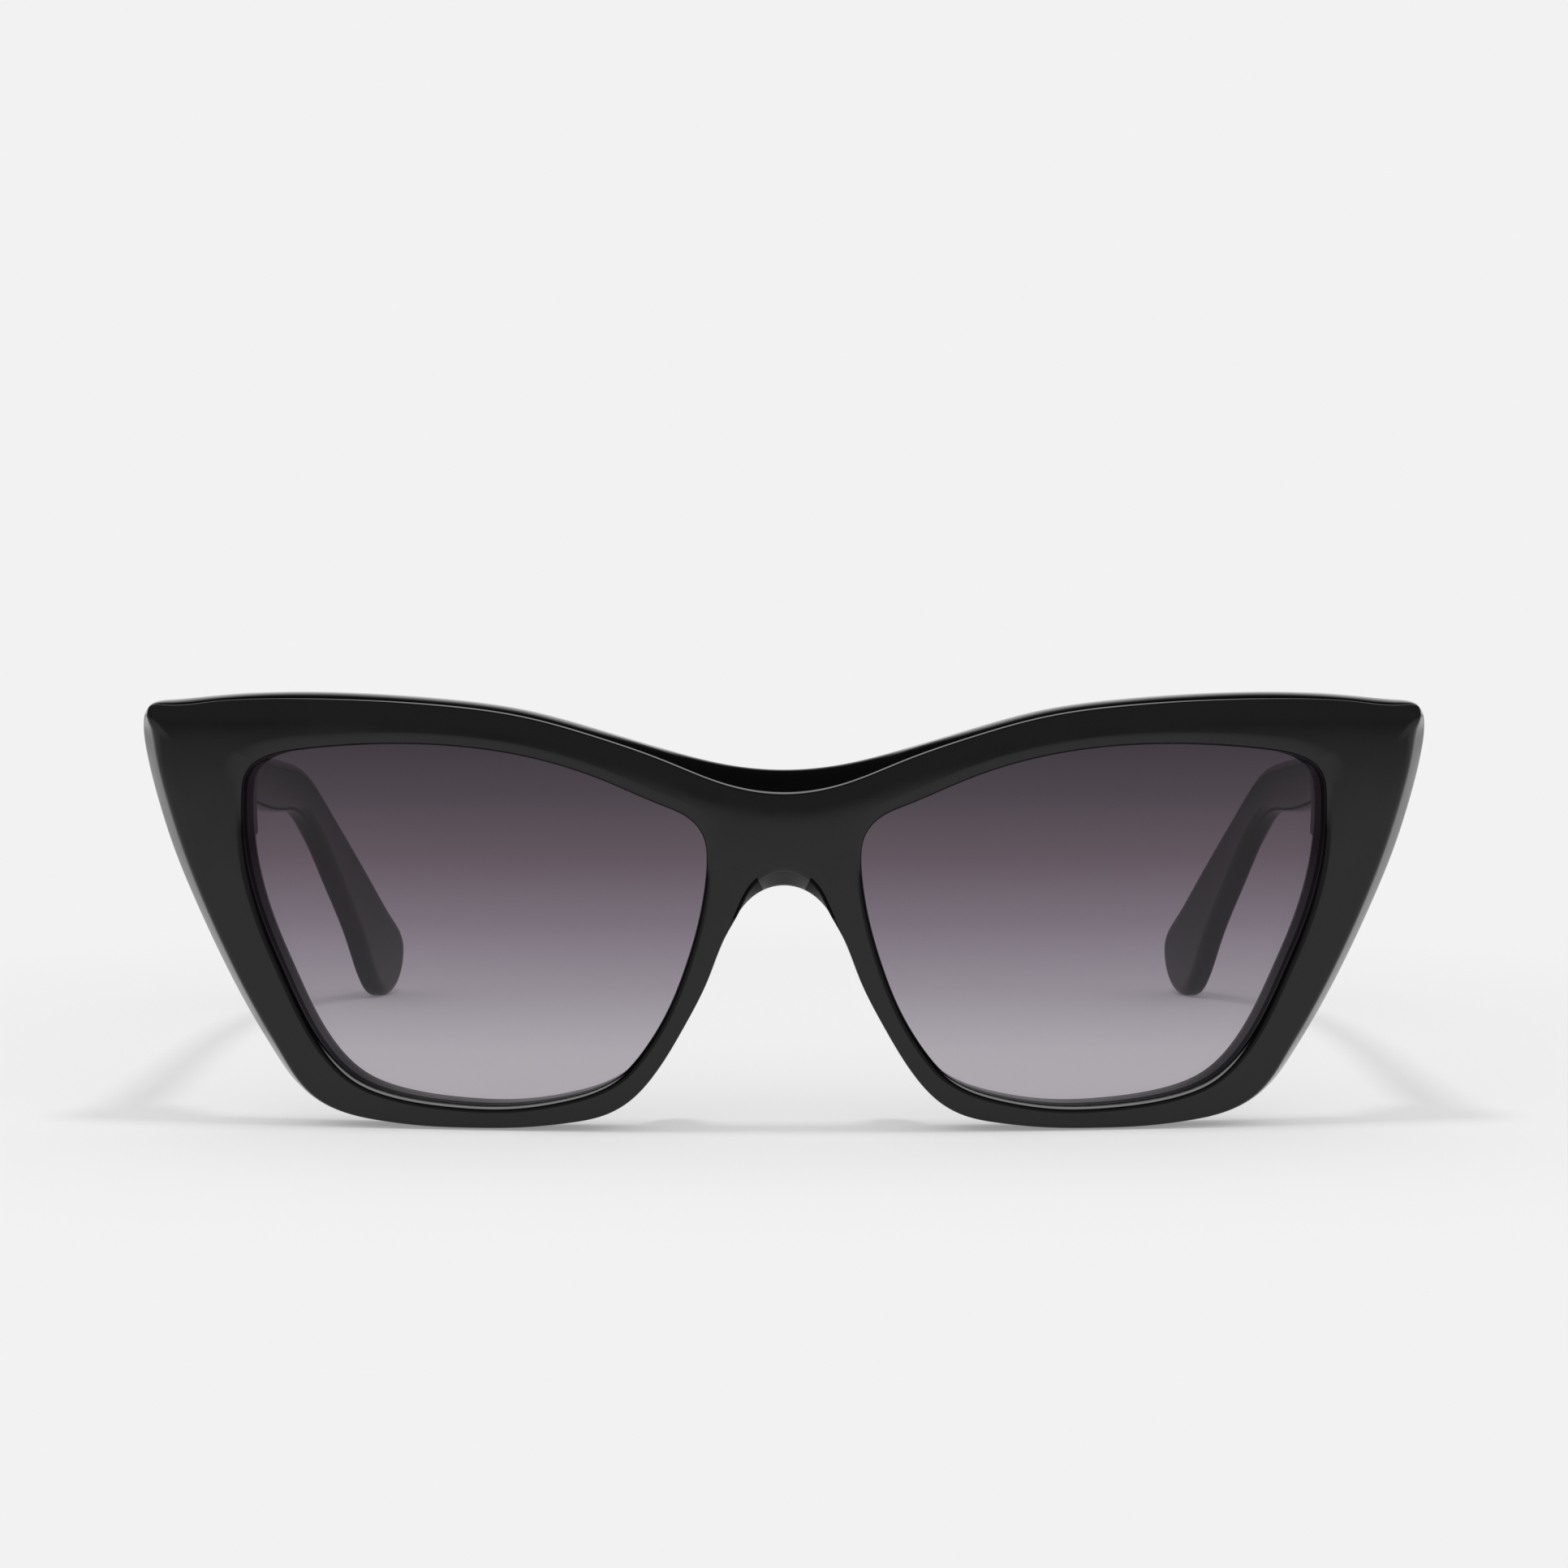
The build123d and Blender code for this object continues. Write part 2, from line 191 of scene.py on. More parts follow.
# ---------------------------------------------------------------- finishes
class AcetateLook(Enum):
    """The looks of the acetate, with the IOR and roughness of each.

    POLISHED is the outside, worked on the wheel until it is a wet mirror. CUT is painted
    shade: it mirrors almost nothing, so the wall before each lens and the ends of the nose
    arch read as black lines where they lie in shade. BUFFED mirrors less and more softly,
    behind the lenses and under the bridge: partly a soft sheen, partly painted shade.
    """

    POLISHED = (1.42, 0.07)
    CUT = (1.1, 0.35)
    BUFFED = (1.24, 0.2)

    @property
    def place(self) -> int:
        """Its place among the front's materials."""
        return list(type(self)).index(self)


@dataclass(frozen=True)
class BlackAcetate:
    """Black cellulose acetate sheet, cut, tumbled for days and buffed by hand.

    The eye gets a deep even black with a wet gloss. The gloss is buffed a little unevenly,
    in soft patches a few millimetres wide, and the surface is very slightly wavy. Its dimmer
    looks mirror less and paint shade.
    """

    buffing: AcetateLook = AcetateLook.POLISHED
    colour: str = "#070707"
    haze: float = 0.05              # how much rougher the dullest patch is
    patch_mm: float = 7.0           # width of a buffed patch
    wave_mm: float = 4.0            # spacing of the buffing's waves
    wave_depth_mm: float = 0.0015

    def material(self) -> bpy.types.Material:
        """Build the material.

        Returns:
            Gloss plastic with patchy roughness and a faint waviness.
        """
        # each look is its own material, named after it; the two dimmer ones mirror less, which
        # paints shade
        ior, roughness = self.buffing.value
        made = new_material(f"{self.buffing.name.lower()} black acetate")
        tree = made.node_tree
        place = add_node(tree, "TexCoord").outputs["Object"]
        patches = add_node(tree, "TexNoise", {
            "Vector": place, "Scale": 1 / (self.patch_mm * MM), "Detail": 2.0,
        })
        gloss = Fade(*NOISE_SPAN, roughness, roughness + self.haze)
        gloss = add_node(tree, "MapRange", gloss.over(patches.outputs["Fac"]))
        waves = add_node(tree, "TexNoise", {
            "Vector": place, "Scale": 1 / (self.wave_mm * MM), "Detail": 0.0,
        })
        surface = add_node(tree, "Bump", {
            "Height": waves.outputs["Fac"], "Strength": 1.0,
            "Distance": self.wave_depth_mm * MM,
        })
        plastic = add_node(tree, "BsdfPrincipled", {
            "Base Color": srgb(self.colour), "Roughness": gloss.outputs["Result"],
            "IOR": ior, "Normal": surface.outputs["Normal"],
        })
        finish_with(made, plastic.outputs["BSDF"])
        return made


@dataclass(frozen=True)
class GradientLens:
    """Nylon lens, moulded clear and dip-dyed grey mauve, so that the dye is densest on top.

    The eye gets a clean mirror-smooth sheet that is nearly opaque under the brow and lets
    half the light through at the cheek.
    """

    low: float                      # height of the lens's bottom, metres
    high: float                     # and of its top
    ior: float = 1.38               # coated, so it mirrors less than bare nylon
    roughness: float = 0.01
    falloff: float = 5.0            # how late the mirroring rises as the eye looks along it
    # share of the height from the bottom, and the colour of white light let through there
    stops: tuple[tuple[float, str], ...] = (
        (0.0, "#c1bbc2"), (0.16, "#b7b2b9"), (0.33, "#9c949e"), (0.50, "#7e7380"),
        (0.68, "#61545e"), (0.85, "#4a414a"), (1.0, "#3f383f"),
    )

    def material(self) -> bpy.types.Material:
        """Build the material.

        Returns:
            A clear tinted sheet that mirrors at its two faces.
        """
        made = new_material("gradient tinted nylon lens")
        tree = made.node_tree
        place = add_node(tree, "TexCoord").outputs["Object"]
        height = add_node(tree, "SeparateXYZ", {"Vector": place}).outputs["Z"]
        share = add_node(tree, "MapRange", Fade(self.low, self.high).over(height))
        dye = add_node(tree, "ValToRGB", {"Fac": share.outputs["Result"]})
        ramp = dye.color_ramp
        for rise, colour in self.stops[1:-1]:
            ramp.elements.new(rise).color = srgb(colour)
        for end in (0, -1):
            ramp.elements[end].color = srgb(self.stops[end][1])
        # light crosses two faces, so each one passes the root of the tint
        passed = add_node(tree, "Gamma", {"Color": dye.outputs["Color"], "Gamma": 0.5})
        clear = add_node(tree, "BsdfTransparent", {"Color": passed.outputs["Color"]})
        mirror = add_node(tree, "BsdfGlossy", {"Roughness": self.roughness})
        # both faces mirror alike, since no ray is bent on its way through the thin sheet
        slant = add_node(tree, "LayerWeight", {"Blend": 0.5}).outputs["Facing"]
        grazing = add_node(tree, "Math", {0: slant, 1: self.falloff}, operation="POWER")
        straight = ((self.ior - 1) / (self.ior + 1)) ** 2
        mirrored = add_node(tree, "Math", {
            0: grazing.outputs[0], 1: 1 - straight, 2: straight,
        }, operation="MULTIPLY_ADD")
        lens = add_node(tree, "MixShader", {
            0: mirrored.outputs[0], 1: clear.outputs["BSDF"], 2: mirror.outputs["BSDF"],
        })
        finish_with(made, lens.outputs["Shader"])
        return made


class Metal(Enum):
    """The metals of the fittings, with the colour and roughness of each."""

    NICKEL_SILVER = ("#c9c5bb", 0.28)
    STAINLESS_STEEL = ("#c4c4c6", 0.22)
    ROLLED_NICKEL_SILVER = ("#c9c5bb", 0.38)


@dataclass(frozen=True)
class TumbledMetal:
    """Small stamped or turned metal fitting, tumbled with fine stones.

    The eye gets a soft satin metal whose shine breaks up in fine random scratches.
    """

    metal: Metal
    grit_mm: float = 0.12           # spacing of the scratches, drawn coarser than the real ones
    scratch: float = 0.12           # how much rougher the most scratched spot is

    def material(self) -> bpy.types.Material:
        """Build the material.

        Returns:
            Satin metal with finely broken roughness.
        """
        colour, roughness = self.metal.value
        made = new_material(self.metal.name.lower().replace("_", " "))
        tree = made.node_tree
        place = add_node(tree, "TexCoord").outputs["Object"]
        grit = add_node(tree, "TexNoise", {
            "Vector": place, "Scale": 1 / (self.grit_mm * MM), "Detail": 3.0,
        })
        satin = Fade(*NOISE_SPAN, roughness - self.scratch / 2, roughness + self.scratch / 2)
        satin = add_node(tree, "MapRange", satin.over(grit.outputs["Fac"]))
        metal = add_node(tree, "BsdfPrincipled", {
            "Base Color": srgb(colour), "Metallic": 1.0,
            "Roughness": satin.outputs["Result"],
        })
        finish_with(made, metal.outputs["BSDF"])
        return made


class Side(Enum):
    """The wearer's two sides, each with its sign along the breadth of the glasses."""

    LEFT = 1
    RIGHT = -1

    @property
    def sign(self) -> int:
        """+1 on the left and -1 on the right."""
        return self.value

    def of(self, part: str) -> str:
        """Name of a part on this side."""
        return f"{part}_{self.name.lower()}"


# ---------------------------------------------------------------- dressing
def dress(frame: dict, names: list[str], material: bpy.types.Material) -> None:
    """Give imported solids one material.

    Args:
        names: The nodes to dress.
        material: The finish that they get.
    """
    for name in names:
        mesh = frame["nodes"][name].data
        mesh.materials.clear()
        mesh.materials.append(material)
        LOG.info("%s: %s", name, material.name)


# ---------------------------------------------------------------- curves and lofts
class SmoothCurve:
    """Smooth curve through stations, each a pair of millimetres.

    The curve bends evenly: its curvature has no jumps. A place on it is told by its
    station number, with a fraction between two stations.
    """

    def __init__(self, stations: Sequence[Pair], closed: bool = True) -> None:
        """Fit the curve.

        Args:
            stations: The points that it runs through, in order.
            closed: Whether the last one joins the first.
        """
        self.points = np.array(stations, float)
        count = len(self.points)
        runs = np.roll(self.points, -1, 0) - self.points
        self.chords = np.linalg.norm(runs, axis=1)
        slopes = runs / self.chords[:, None]
        weights = np.zeros((count, count))
        pulls = np.zeros((count, 2))
        for i in range(count):
            before, after = self.chords[i - 1], self.chords[i]
            weights[i, i - 1] = after
            weights[i, i] = 2 * (before + after)
            weights[i, (i + 1) % count] = before
            pulls[i] = 3 * (after * slopes[i - 1] + before * slopes[i])
        if not closed:
            for end, inside, slope in ((0, 1, slopes[0]), (-1, -2, slopes[-2])):
                weights[end] = 0.0
                weights[end, end], weights[end, inside] = 2.0, 1.0
                pulls[end] = 3 * slope
        self.tangents = np.linalg.solve(weights, pulls)

    def at(self, places: np.ndarray) -> np.ndarray:
        """Find points on the curve.

        Args:
            places: Station numbers with fractions.

        Returns:
            One row for each place.
        """
        start = np.floor(places).astype(int)
        f = (places - start)[:, None]
        i, j = start % len(self.points), (start + 1) % len(self.points)
        chord = self.chords[i][:, None]
        return (
            (1 + 2 * f) * (1 - f) ** 2 * self.points[i] + f ** 2 * (3 - 2 * f) * self.points[j]
            + chord * f * (1 - f) ** 2 * self.tangents[i]
            - chord * f ** 2 * (1 - f) * self.tangents[j]
        )


def pushed_out(stations: Sequence[Pair], distances: Sequence[float]) -> list[Pair]:
    """Move each station of a clockwise loop outwards.

    Args:
        stations: The loop's (x, height) points.
        distances: How far each one moves, negative for inwards.

    Returns:
        The moved points.
    """
    moved = []
    for i, (x, z) in enumerate(stations):
        before, after = stations[i - 1], stations[(i + 1) % len(stations)]
        run, rise = after[0] - before[0], after[1] - before[1]
        length = hypot(run, rise)
        moved.append((x - rise / length * distances[i], z + run / length * distances[i]))
    return moved


def eased(corner: Pair, before: Pair, after: Pair, steps: int) -> list[Pair]:
    """Round a corner softly, with no edge where the rounding starts and ends.

    Args:
        corner: The sharp corner's (push, depth).
        before: Where the rounding starts.
        after: Where it ends.
        steps: Number of facets in the rounding.

    Returns:
        The (push, depth) points of the rounding, both ends included.
    """
    shares = [i / steps for i in range(steps + 1)]
    return [
        tuple(
            (1 - s) ** 2 * a + 2 * s * (1 - s) * b + s ** 2 * c
            for a, b, c in zip(before, corner, after)
        )
        for s in shares
    ]


class Loft:
    """A skin drawn ring by ring through a bmesh, by extruding the last ring's edges."""

    def __init__(self, ring: Sequence[Sequence[float]]) -> None:
        """Start with one closed ring.

        Args:
            ring: Its points in order.
        """
        self.bm = bmesh.new()
        made = bmesh.ops.create_circle(self.bm, segments=len(ring), radius=1.0)
        self.first = made["verts"]
        self.place(self.first, ring)
        self.last = self.first

    @staticmethod
    def place(verts: Sequence[bmesh.types.BMVert], ring: Sequence[Sequence[float]]) -> None:
        """Put each vertex of a ring at its point."""
        for vert, point in zip(verts, ring):
            vert.co = point

    def grow(
        self, ring: Sequence[Sequence[float]], start: Sequence[bmesh.types.BMVert] | None = None
    ) -> list[bmesh.types.BMVert]:
        """Extrude a ring, or part of one, to new points.

        Args:
            ring: Where the new vertices go, in order.
            start: The vertices to extrude, in order; the last ring if left out.

        Returns:
            The new vertices, in the same order.
        """
        start = self.last if start is None else start
        inside = set(start)
        edges = list({
            edge for vert in start for edge in vert.link_edges
            if edge.other_vert(vert) in inside
        })
        made = bmesh.ops.extrude_edge_only(self.bm, edges=edges)["geom"]
        new = {item for item in made if isinstance(item, bmesh.types.BMVert)}
        self.last = []
        for vert in start:
            self.last.append(next(
                edge.other_vert(vert) for edge in vert.link_edges
                if edge.other_vert(vert) in new
            ))
        self.place(self.last, ring)
        return self.last


# ---------------------------------------------------------------- front
@dataclass
class PolishedFront:
    """The acetate front: one curved plate with two eye openings and a block behind each wing.

    Sizes are in millimetres. Stations are (x, height, width of the wide facet there), one
    half of the outline, clockwise from the top of the bridge to the top of the nose arch.
    """

    front_y: float
    wrap_radius: float = 300.0
    thickness: float = 6.0
    flare_depth: float = 3.5        # how far behind the face the wide facet ends
    eye_x: float = 36.0             # middle of the eye
    lens_setback: float = 2.4       # lens behind the face
    # edges: how far each is softened
    rim_round: float = 0.85         # front edge of each eye opening
    rim_back_round: float = 0.5     # and its back edge
    back_round: float = 0.7         # outer edge of the back
    crisp: float = 0.28             # crease between face and facet, over the bridge and the foot
    sharp: float = 0.08             # along the brow's outer part
    soft: float = 0.55              # and along the sides
    sharp_from: float = 52.0        # x of the brow's outer part
    sharp_run: float = 10.0         # and over this much before it the crease sharpens
    arris: float = 0.35             # edge behind the wide facet
    bridge_ridge: float = 1.5       # and on top of the bridge
    ridge_flare: float = 0.5        # facets wider than this run into that ridge
    # wide facet: 0 is flat and 1 rounds over from 45 degrees
    brow_bulge: float = 0.6
    side_bulge: float = 0.1
    flat_flare: float = 1.8         # facets of the brow wider than this are flat
    corner_z: float = 45.5          # height where the brow ends and the side begins
    # strip of the face that has been buffed down along the brow
    brow_roll: float = 0.07
    brow_width: float = 3.4
    level_from: float = 62.0        # beyond this x it runs level to the corner
    # arch under the bridge
    arch: Pair = (6.5, 27.3)        # radius of what belongs to it, and height of its top
    arch_crease: float = 0.9
    arch_centre: float = 21.5       # height of the middle of its round top
    arch_buffed: float = 0.46       # painted shade on the arch's ends starts past this slope from there
    arch_cut: float = 0.225         # and this far back
    arch_back: float = 5.9          # and the arch ends here
    # facets
    steps: int = 8                  # between two stations
    middle_steps: int = 16          # up the middle of the bridge
    face_rings: int = 6             # from the eye to the outline
    rim_steps: int = 5              # round the front edge of the eye
    edge_steps: int = 4             # round any other edge
    flare_rings: int = 8            # across the wide facet
    fine: int = 40                  # places tried between two stations of the eye
    # blocks that the temples close against
    joint_depth: float = 15.176     # joint face behind the foremost point
    end_inner: float = 61.0         # x where a block is at its full depth
    end_slope: float = 3.5          # and how far inwards it runs out
    end_bottom: float = 32.5
    end_chamfer: float = 1.2
    end_draft: float = 0.15
    seat: float = 0.04              # the hinge leaf stands proud of the joint face by this
    slack: float = 0.01             # points this near to a block's edge belong to it
    weld: float = 0.002             # corners nearer than this are one
    stations: tuple[tuple[float, float, float], ...] = (
        (0.0, 40.2, 2.4), (6.5, 40.8, 1.9), (13.0, 42.4, 1.0),
        (20.5, 44.6, 0.6), (29.0, 46.85, 0.55), (38.0, 48.05, 0.55), (47.5, 48.65, 0.6),
        (57.0, 48.75, 0.6), (64.5, 48.3, 0.55), (69.8, 47.8, 0.45), (71.9, 47.35, 0.4),
        (72.75, 46.3, 0.95), (73.0, 44.6, 1.7), (72.6, 41.5, 1.85), (71.2, 36.0, 1.8),
        (69.35, 30.45, 1.75), (67.0, 24.9, 1.6), (64.0, 18.6, 1.5), (60.5, 12.15, 1.4),
        (57.6, 7.5, 1.3), (55.7, 4.9, 1.1), (53.4, 2.95, 0.8), (50.0, 1.45, 0.5),
        (45.5, 0.55, 0.4), (40.0, 0.1, 0.3), (35.0, 0.0, 0.3), (29.0, 0.15, 0.3),
        (24.0, 0.7, 0.3), (20.0, 1.6, 0.3), (17.4, 3.0, 0.3), (14.6, 5.9, 0.25),
        (11.0, 11.75, 0.15), (8.3, 17.2, 0.1), (6.5, 21.7, 0.1), (5.0, 24.4, 0.3),
        (3.0, 26.4, 1.4), (0.0, 27.3, 2.3),
    )
    # the eye opening in the plane of the eye: (outwards from the eye's middle, height)
    eye: tuple[Pair, ...] = (
        (6.0, 43.1), (13.0, 42.9), (18.3, 42.4), (22.3, 41.55), (24.1, 40.5), (24.95, 39.2),
        (25.25, 37.5), (25.3, 35.2), (25.0, 30.9), (24.1, 26.6), (22.7, 22.4), (20.6, 17.6),
        (18.3, 12.8), (15.6, 8.6), (12.3, 5.6), (8.0, 3.95), (1.0, 2.95), (-5.5, 2.85),
        (-11.5, 3.75), (-15.4, 4.95), (-18.0, 6.5), (-20.3, 9.1), (-23.0, 13.6),
        (-25.0, 18.6), (-26.2, 22.6), (-27.0, 26.5), (-27.35, 30.2), (-27.0, 32.9),
        (-25.4, 34.95), (-22.4, 36.4), (-16.0, 39.1), (-9.0, 41.35), (-2.0, 42.6),
    )

    def __post_init__(self) -> None:
        """Work out the whole outline and where the skin's rings have their points."""
        half = list(self.stations)
        whole = half + [(-x, z, flare) for x, z, flare in reversed(half[1:-1])]
        self.outline = [(x, z) for x, z, _ in whole]
        self.flares = [flare for _, _, flare in whole]
        last = len(half) - 1
        self.places = np.linspace(0, last, last * self.steps + 1)
        centre = (self.eye_x, sum(z for _, z in self.eye) / len(self.eye))
        fine = np.linspace(0, len(self.eye), self.fine * len(self.eye), endpoint=False)
        turns = np.unwrap(self.turn(self.through_eye(0.0, 0.0, fine), centre))
        wanted = np.unwrap(self.turn(self.outer_ring(0), centre))
        wanted += 2 * pi * round((turns.mean() - wanted.mean()) / (2 * pi))
        many = np.concatenate([turns + 2 * pi, turns, turns - 2 * pi])
        spots = np.concatenate([fine - len(self.eye), fine, fine + len(self.eye)])
        order = np.argsort(many)
        self.eye_places = np.interp(wanted, many[order], spots[order]) % len(self.eye)

    @staticmethod
    def turn(points: np.ndarray, centre: Pair) -> np.ndarray:
        """Direction of each point from a centre, in radians."""
        return np.arctan2(points[:, 1] - centre[1], points[:, 0] - centre[0])

    def behind(self, x: float, depth: float) -> float:
        """Y of the plate's layer at a depth behind its face, at x."""
        return self.front_y + self.wrap_radius - sqrt((self.wrap_radius - depth) ** 2 - x * x)

    def layer(self, flat: np.ndarray, depth: float) -> list[tuple[float, float, float]]:
        """Lay (x, height) points on the curved layer at one depth."""
        return [(x, self.behind(x, depth), z) for x, z in flat]

    def through_eye(self, push: float, depth: float, places: np.ndarray) -> np.ndarray:
        """Ring round the eye opening, whose walls run square to the eye's own plane.

        Args:
            push: How far outside the opening's edge.
            depth: How far behind the face.
            places: Places on the opening's edge.

        Returns:
            One (x, height) row for each place.
        """
        loop = SmoothCurve(pushed_out(self.eye, [push] * len(self.eye))).at(places)
        lean = self.eye_x / self.wrap_radius
        inwards = self.wrap_radius - np.sqrt((self.wrap_radius - depth) ** 2 - loop[:, 0] ** 2)
        across = self.eye_x + loop[:, 0] * sqrt(1 - lean ** 2) - inwards * lean
        return np.column_stack([across, loop[:, 1]])

    def edge_profile(
        self, flare: float, crease: float, bulge: float, ridge: float
    ) -> list[Pair]:
        """Section of the outer edge, from the face to the back.

        Args:
            flare: Width of the wide facet.
            crease: Softening between the face and the wide facet.
            bulge: 0 for a flat facet, 1 for one that rounds over from 45 degrees.
            ridge: Softening between the wide facet and the edge's level part.

        Returns:
            (push, depth) points, push being measured outwards from the outline.
        """
        middle = (-flare / 2 * (1 - bulge), self.flare_depth / 2 * (1 - bulge) + flare * bulge)
        curve = eased(middle, (-flare, 0.0), (0.0, self.flare_depth), 3 * self.edge_steps)
        slant = hypot(flare + middle[0], middle[1])
        out, back = (flare + middle[0]) / slant, middle[1] / slant
        top = eased(
            (-flare, 0.0), (-flare - crease, 0.0),
            (-flare + crease * out, crease * back), self.edge_steps,
        )
        out_along, depth_along = zip(*curve)
        depths = np.linspace(top[-1][1], self.flare_depth - ridge, self.flare_rings + 1)
        facet = [
            (float(np.interp(depth, depth_along, out_along)), float(depth))
            for depth in depths[1:]
        ]
        side = eased(
            (0.0, self.flare_depth), facet.pop(), (0.0, self.flare_depth + ridge),
            self.edge_steps,
        )
        rear = eased(
            (0.0, self.thickness), (0.0, self.thickness - self.back_round),
            (-self.back_round, self.thickness), self.edge_steps,
        )
        return top + facet + side + rear

    def outline_profiles(self) -> list[list[Pair]]:
        """Work out the outer edge's section all round the front.

        Returns:
            The section at each station of the whole outline.
        """
        profiles = []
        for i, flare in enumerate(self.flares):
            before = self.outline[i - 1]
            after = self.outline[(i + 1) % len(self.outline)]
            rise, run = after[1] - before[1], after[0] - before[0]
            upright = rise ** 2 / (rise ** 2 + run ** 2)
            x, z = self.outline[i]
            wing = 1.0 if abs(x) > self.eye_x and z < self.corner_z else 0.0
            crease = self.crisp + (self.soft - self.crisp) * upright * wing
            if z >= self.corner_z:
                sharpening = (self.sharp_from - self.sharp_run, self.sharp_from)
                crease = float(np.interp(abs(x), sharpening, (self.crisp, self.sharp)))
            elif self.in_arch(x, z):
                crease = self.arch_crease
            brow = self.brow_bulge * min(max(self.flat_flare - flare, 0.0), 1.0)
            bulge = brow + (self.side_bulge - brow) * upright * wing
            top = min(max(flare - self.ridge_flare, 0.0), 1.0) if z > self.arch[1] else 0.0
            ridge = self.arris + (self.bridge_ridge - self.arris) * top * (1 - wing)
            profiles.append(self.edge_profile(flare, crease, bulge, ridge))
        return profiles

    def in_arch(self, x: float, z: float) -> bool:
        """Whether a point of the outer edge belongs to the arch under the bridge."""
        return hypot(x, z - self.arch[1]) < self.arch[0]

    def edge_line(self, point: int) -> np.ndarray:
        """Where one point of the outer edge's section runs, as rows of (x, height)."""
        pushes = [profile[point][0] for profile in self.outline_profiles()]
        return SmoothCurve(pushed_out(self.outline, pushes)).at(self.places)

    def outer_ring(self, point: int) -> np.ndarray:
        """Find the rim of the face or the back.

        Args:
            point: 0 where the face ends, -1 where the back ends.

        Returns:
            Rows of (x, height) along the outer edge, and up the middle of the bridge.
        """
        chain = self.edge_line(point)
        top, foot = chain[0][1], chain[-1][1]
        middle = np.linspace(foot, top, self.middle_steps + 1)[1:-1]
        return np.vstack([chain, np.column_stack([np.zeros(len(middle)), middle])])

    def eye_ring(self, push: float, depth: float) -> list[tuple[float, float, float]]:
        """Ring round the eye opening, pushed out from its edge, at a depth."""
        return self.layer(self.through_eye(push, depth, self.eye_places), depth)

    def between(self, start: list, end: np.ndarray, depth: float) -> list[list]:
        """Lay rings across the face or the back.

        Args:
            start: The ring to leave from, as points.
            end: The ring to reach, as rows of (x, height).
            depth: Depth of the face or the back.

        Returns:
            The rings after the start, up to the end.
        """
        inner = np.array([(x, z) for x, _, z in start])
        shares = [i / self.face_rings for i in range(1, self.face_rings + 1)]
        return [self.layer(inner + (end - inner) * share, depth) for share in shares]

    def eye_wall(
        self, loft: Loft, depth: float, softened: float, steps: int
    ) -> tuple[list[tuple[float, float, float]], set[bmesh.types.BMFace]]:
        """Grow the skin from the lens along the eye's wall and round its edge.

        Args:
            loft: The skin, whose last ring lies along the lens.
            depth: Depth of the face or the back.
            softened: Width of the rounded edge, negative if it lies before that depth.
            steps: Facets round the edge.

        Returns:
            The last ring's points, and the faces of the wall.
        """
        wall = set()
        corner, before, after = (0.0, depth), (0.0, depth + softened), (abs(softened), depth)
        for push, at in eased(corner, before, after, steps):
            ring = self.eye_ring(push, at)
            verts = loft.grow(ring)
            wall = wall or {face for vert in verts for face in vert.link_faces}
        return ring, wall

    def finish_arch(self, bm: bmesh.types.BMesh) -> None:
        """Give the arch a dimmer, softer gloss, partly painted shade, and paint black shade on
        its ends.

        Args:
            bm: The half skin.
        """
        for face in bm.faces:
            x, y, z = face.calc_center_median()
            depth = y - self.behind(x, 0.0)
            if self.in_arch(x, z) and depth < self.arch_back:
                reach = self.arch_buffed * (z - self.arch_centre)
                if x > reach and depth > self.arch_cut:
                    face.material_index = AcetateLook.CUT.place
                elif depth > self.arch_crease:
                    face.material_index = AcetateLook.BUFFED.place

    def half_skin(self) -> bmesh.types.BMesh:
        """Draw the skin of the left half, open along the middle of the bridge.

        Returns:
            The half skin, in millimetres.
        """
        loft = Loft(self.eye_ring(0.0, self.lens_setback))
        # from the lens forwards, and over the face
        ring, before = self.eye_wall(loft, 0.0, self.rim_round, self.rim_steps)
        for ring in self.between(ring, self.outer_ring(0), 0.0):
            chain = loft.grow(ring)
        # round the outer edge to the back
        profiles = self.outline_profiles()
        chain = chain[:len(self.places)]
        for step in range(1, len(profiles[0])):
            depths = [profile[step][1] for profile in profiles]
            deep = np.interp(self.places, range(len(depths)), depths)
            ring = [(x, self.behind(x, d), z) for (x, z), d in zip(self.edge_line(step), deep)]
            chain = loft.grow(ring, chain)
        # from the lens backwards, and over the back of the rim to the same place
        loft.last = loft.first
        ring, behind = self.eye_wall(loft, self.thickness, -self.rim_back_round, self.edge_steps)
        for ring in self.between(ring, self.outer_ring(-1), self.thickness):
            loft.grow(ring)
        # the wall before each lens gets the black painted shade and the wall behind it the dimmer
        # gloss, partly painted shade; they come last, because an extruded face takes on its
        # neighbour's
        for wall, buffing in ((before, AcetateLook.CUT), (behind, AcetateLook.BUFFED)):
            for face in wall:
                face.material_index = buffing.place
        self.finish_arch(loft.bm)
        bmesh.ops.remove_doubles(loft.bm, verts=loft.bm.verts, dist=self.weld)
        return loft.bm

    def roll_brow(self, bm: bmesh.types.BMesh) -> None:
        """Let the face fall away a little towards the crease along the brow.

        Args:
            bm: The half skin.
        """
        crease = self.edge_line(0)
        crest = crease[:int(crease[:, 0].argmax()) + 1]
        for vert in bm.verts:
            x, y, z = vert.co
            depth = y - self.behind(x, 0.0)
            level = min(x, self.level_from)
            below = float(np.interp(level, crest[:, 0], crest[:, 1])) - z
            share = min(max(1 - below / self.brow_width, 0.0), 1.0)
            fade = max(1 - depth / self.flare_depth, 0.0)
            vert.co.y = y + self.brow_roll * share ** 2 * fade

    def block_y(self, x: float, z: float) -> float:
        """Find the back of the end block.

        Args:
            x: Distance from the middle of the glasses.
            z: Height.

        Returns:
            Y of its back there, or far forward outside the block.
        """
        joint = self.front_y + self.joint_depth - self.seat
        lower = min(z - self.end_bottom - self.end_chamfer, 0.0)
        ramp = min(x - self.end_inner, 0.0)
        if z < self.end_bottom - self.end_draft / 2 or ramp < -self.end_slope - self.slack:
            return self.front_y
        return joint + min(lower, ramp)

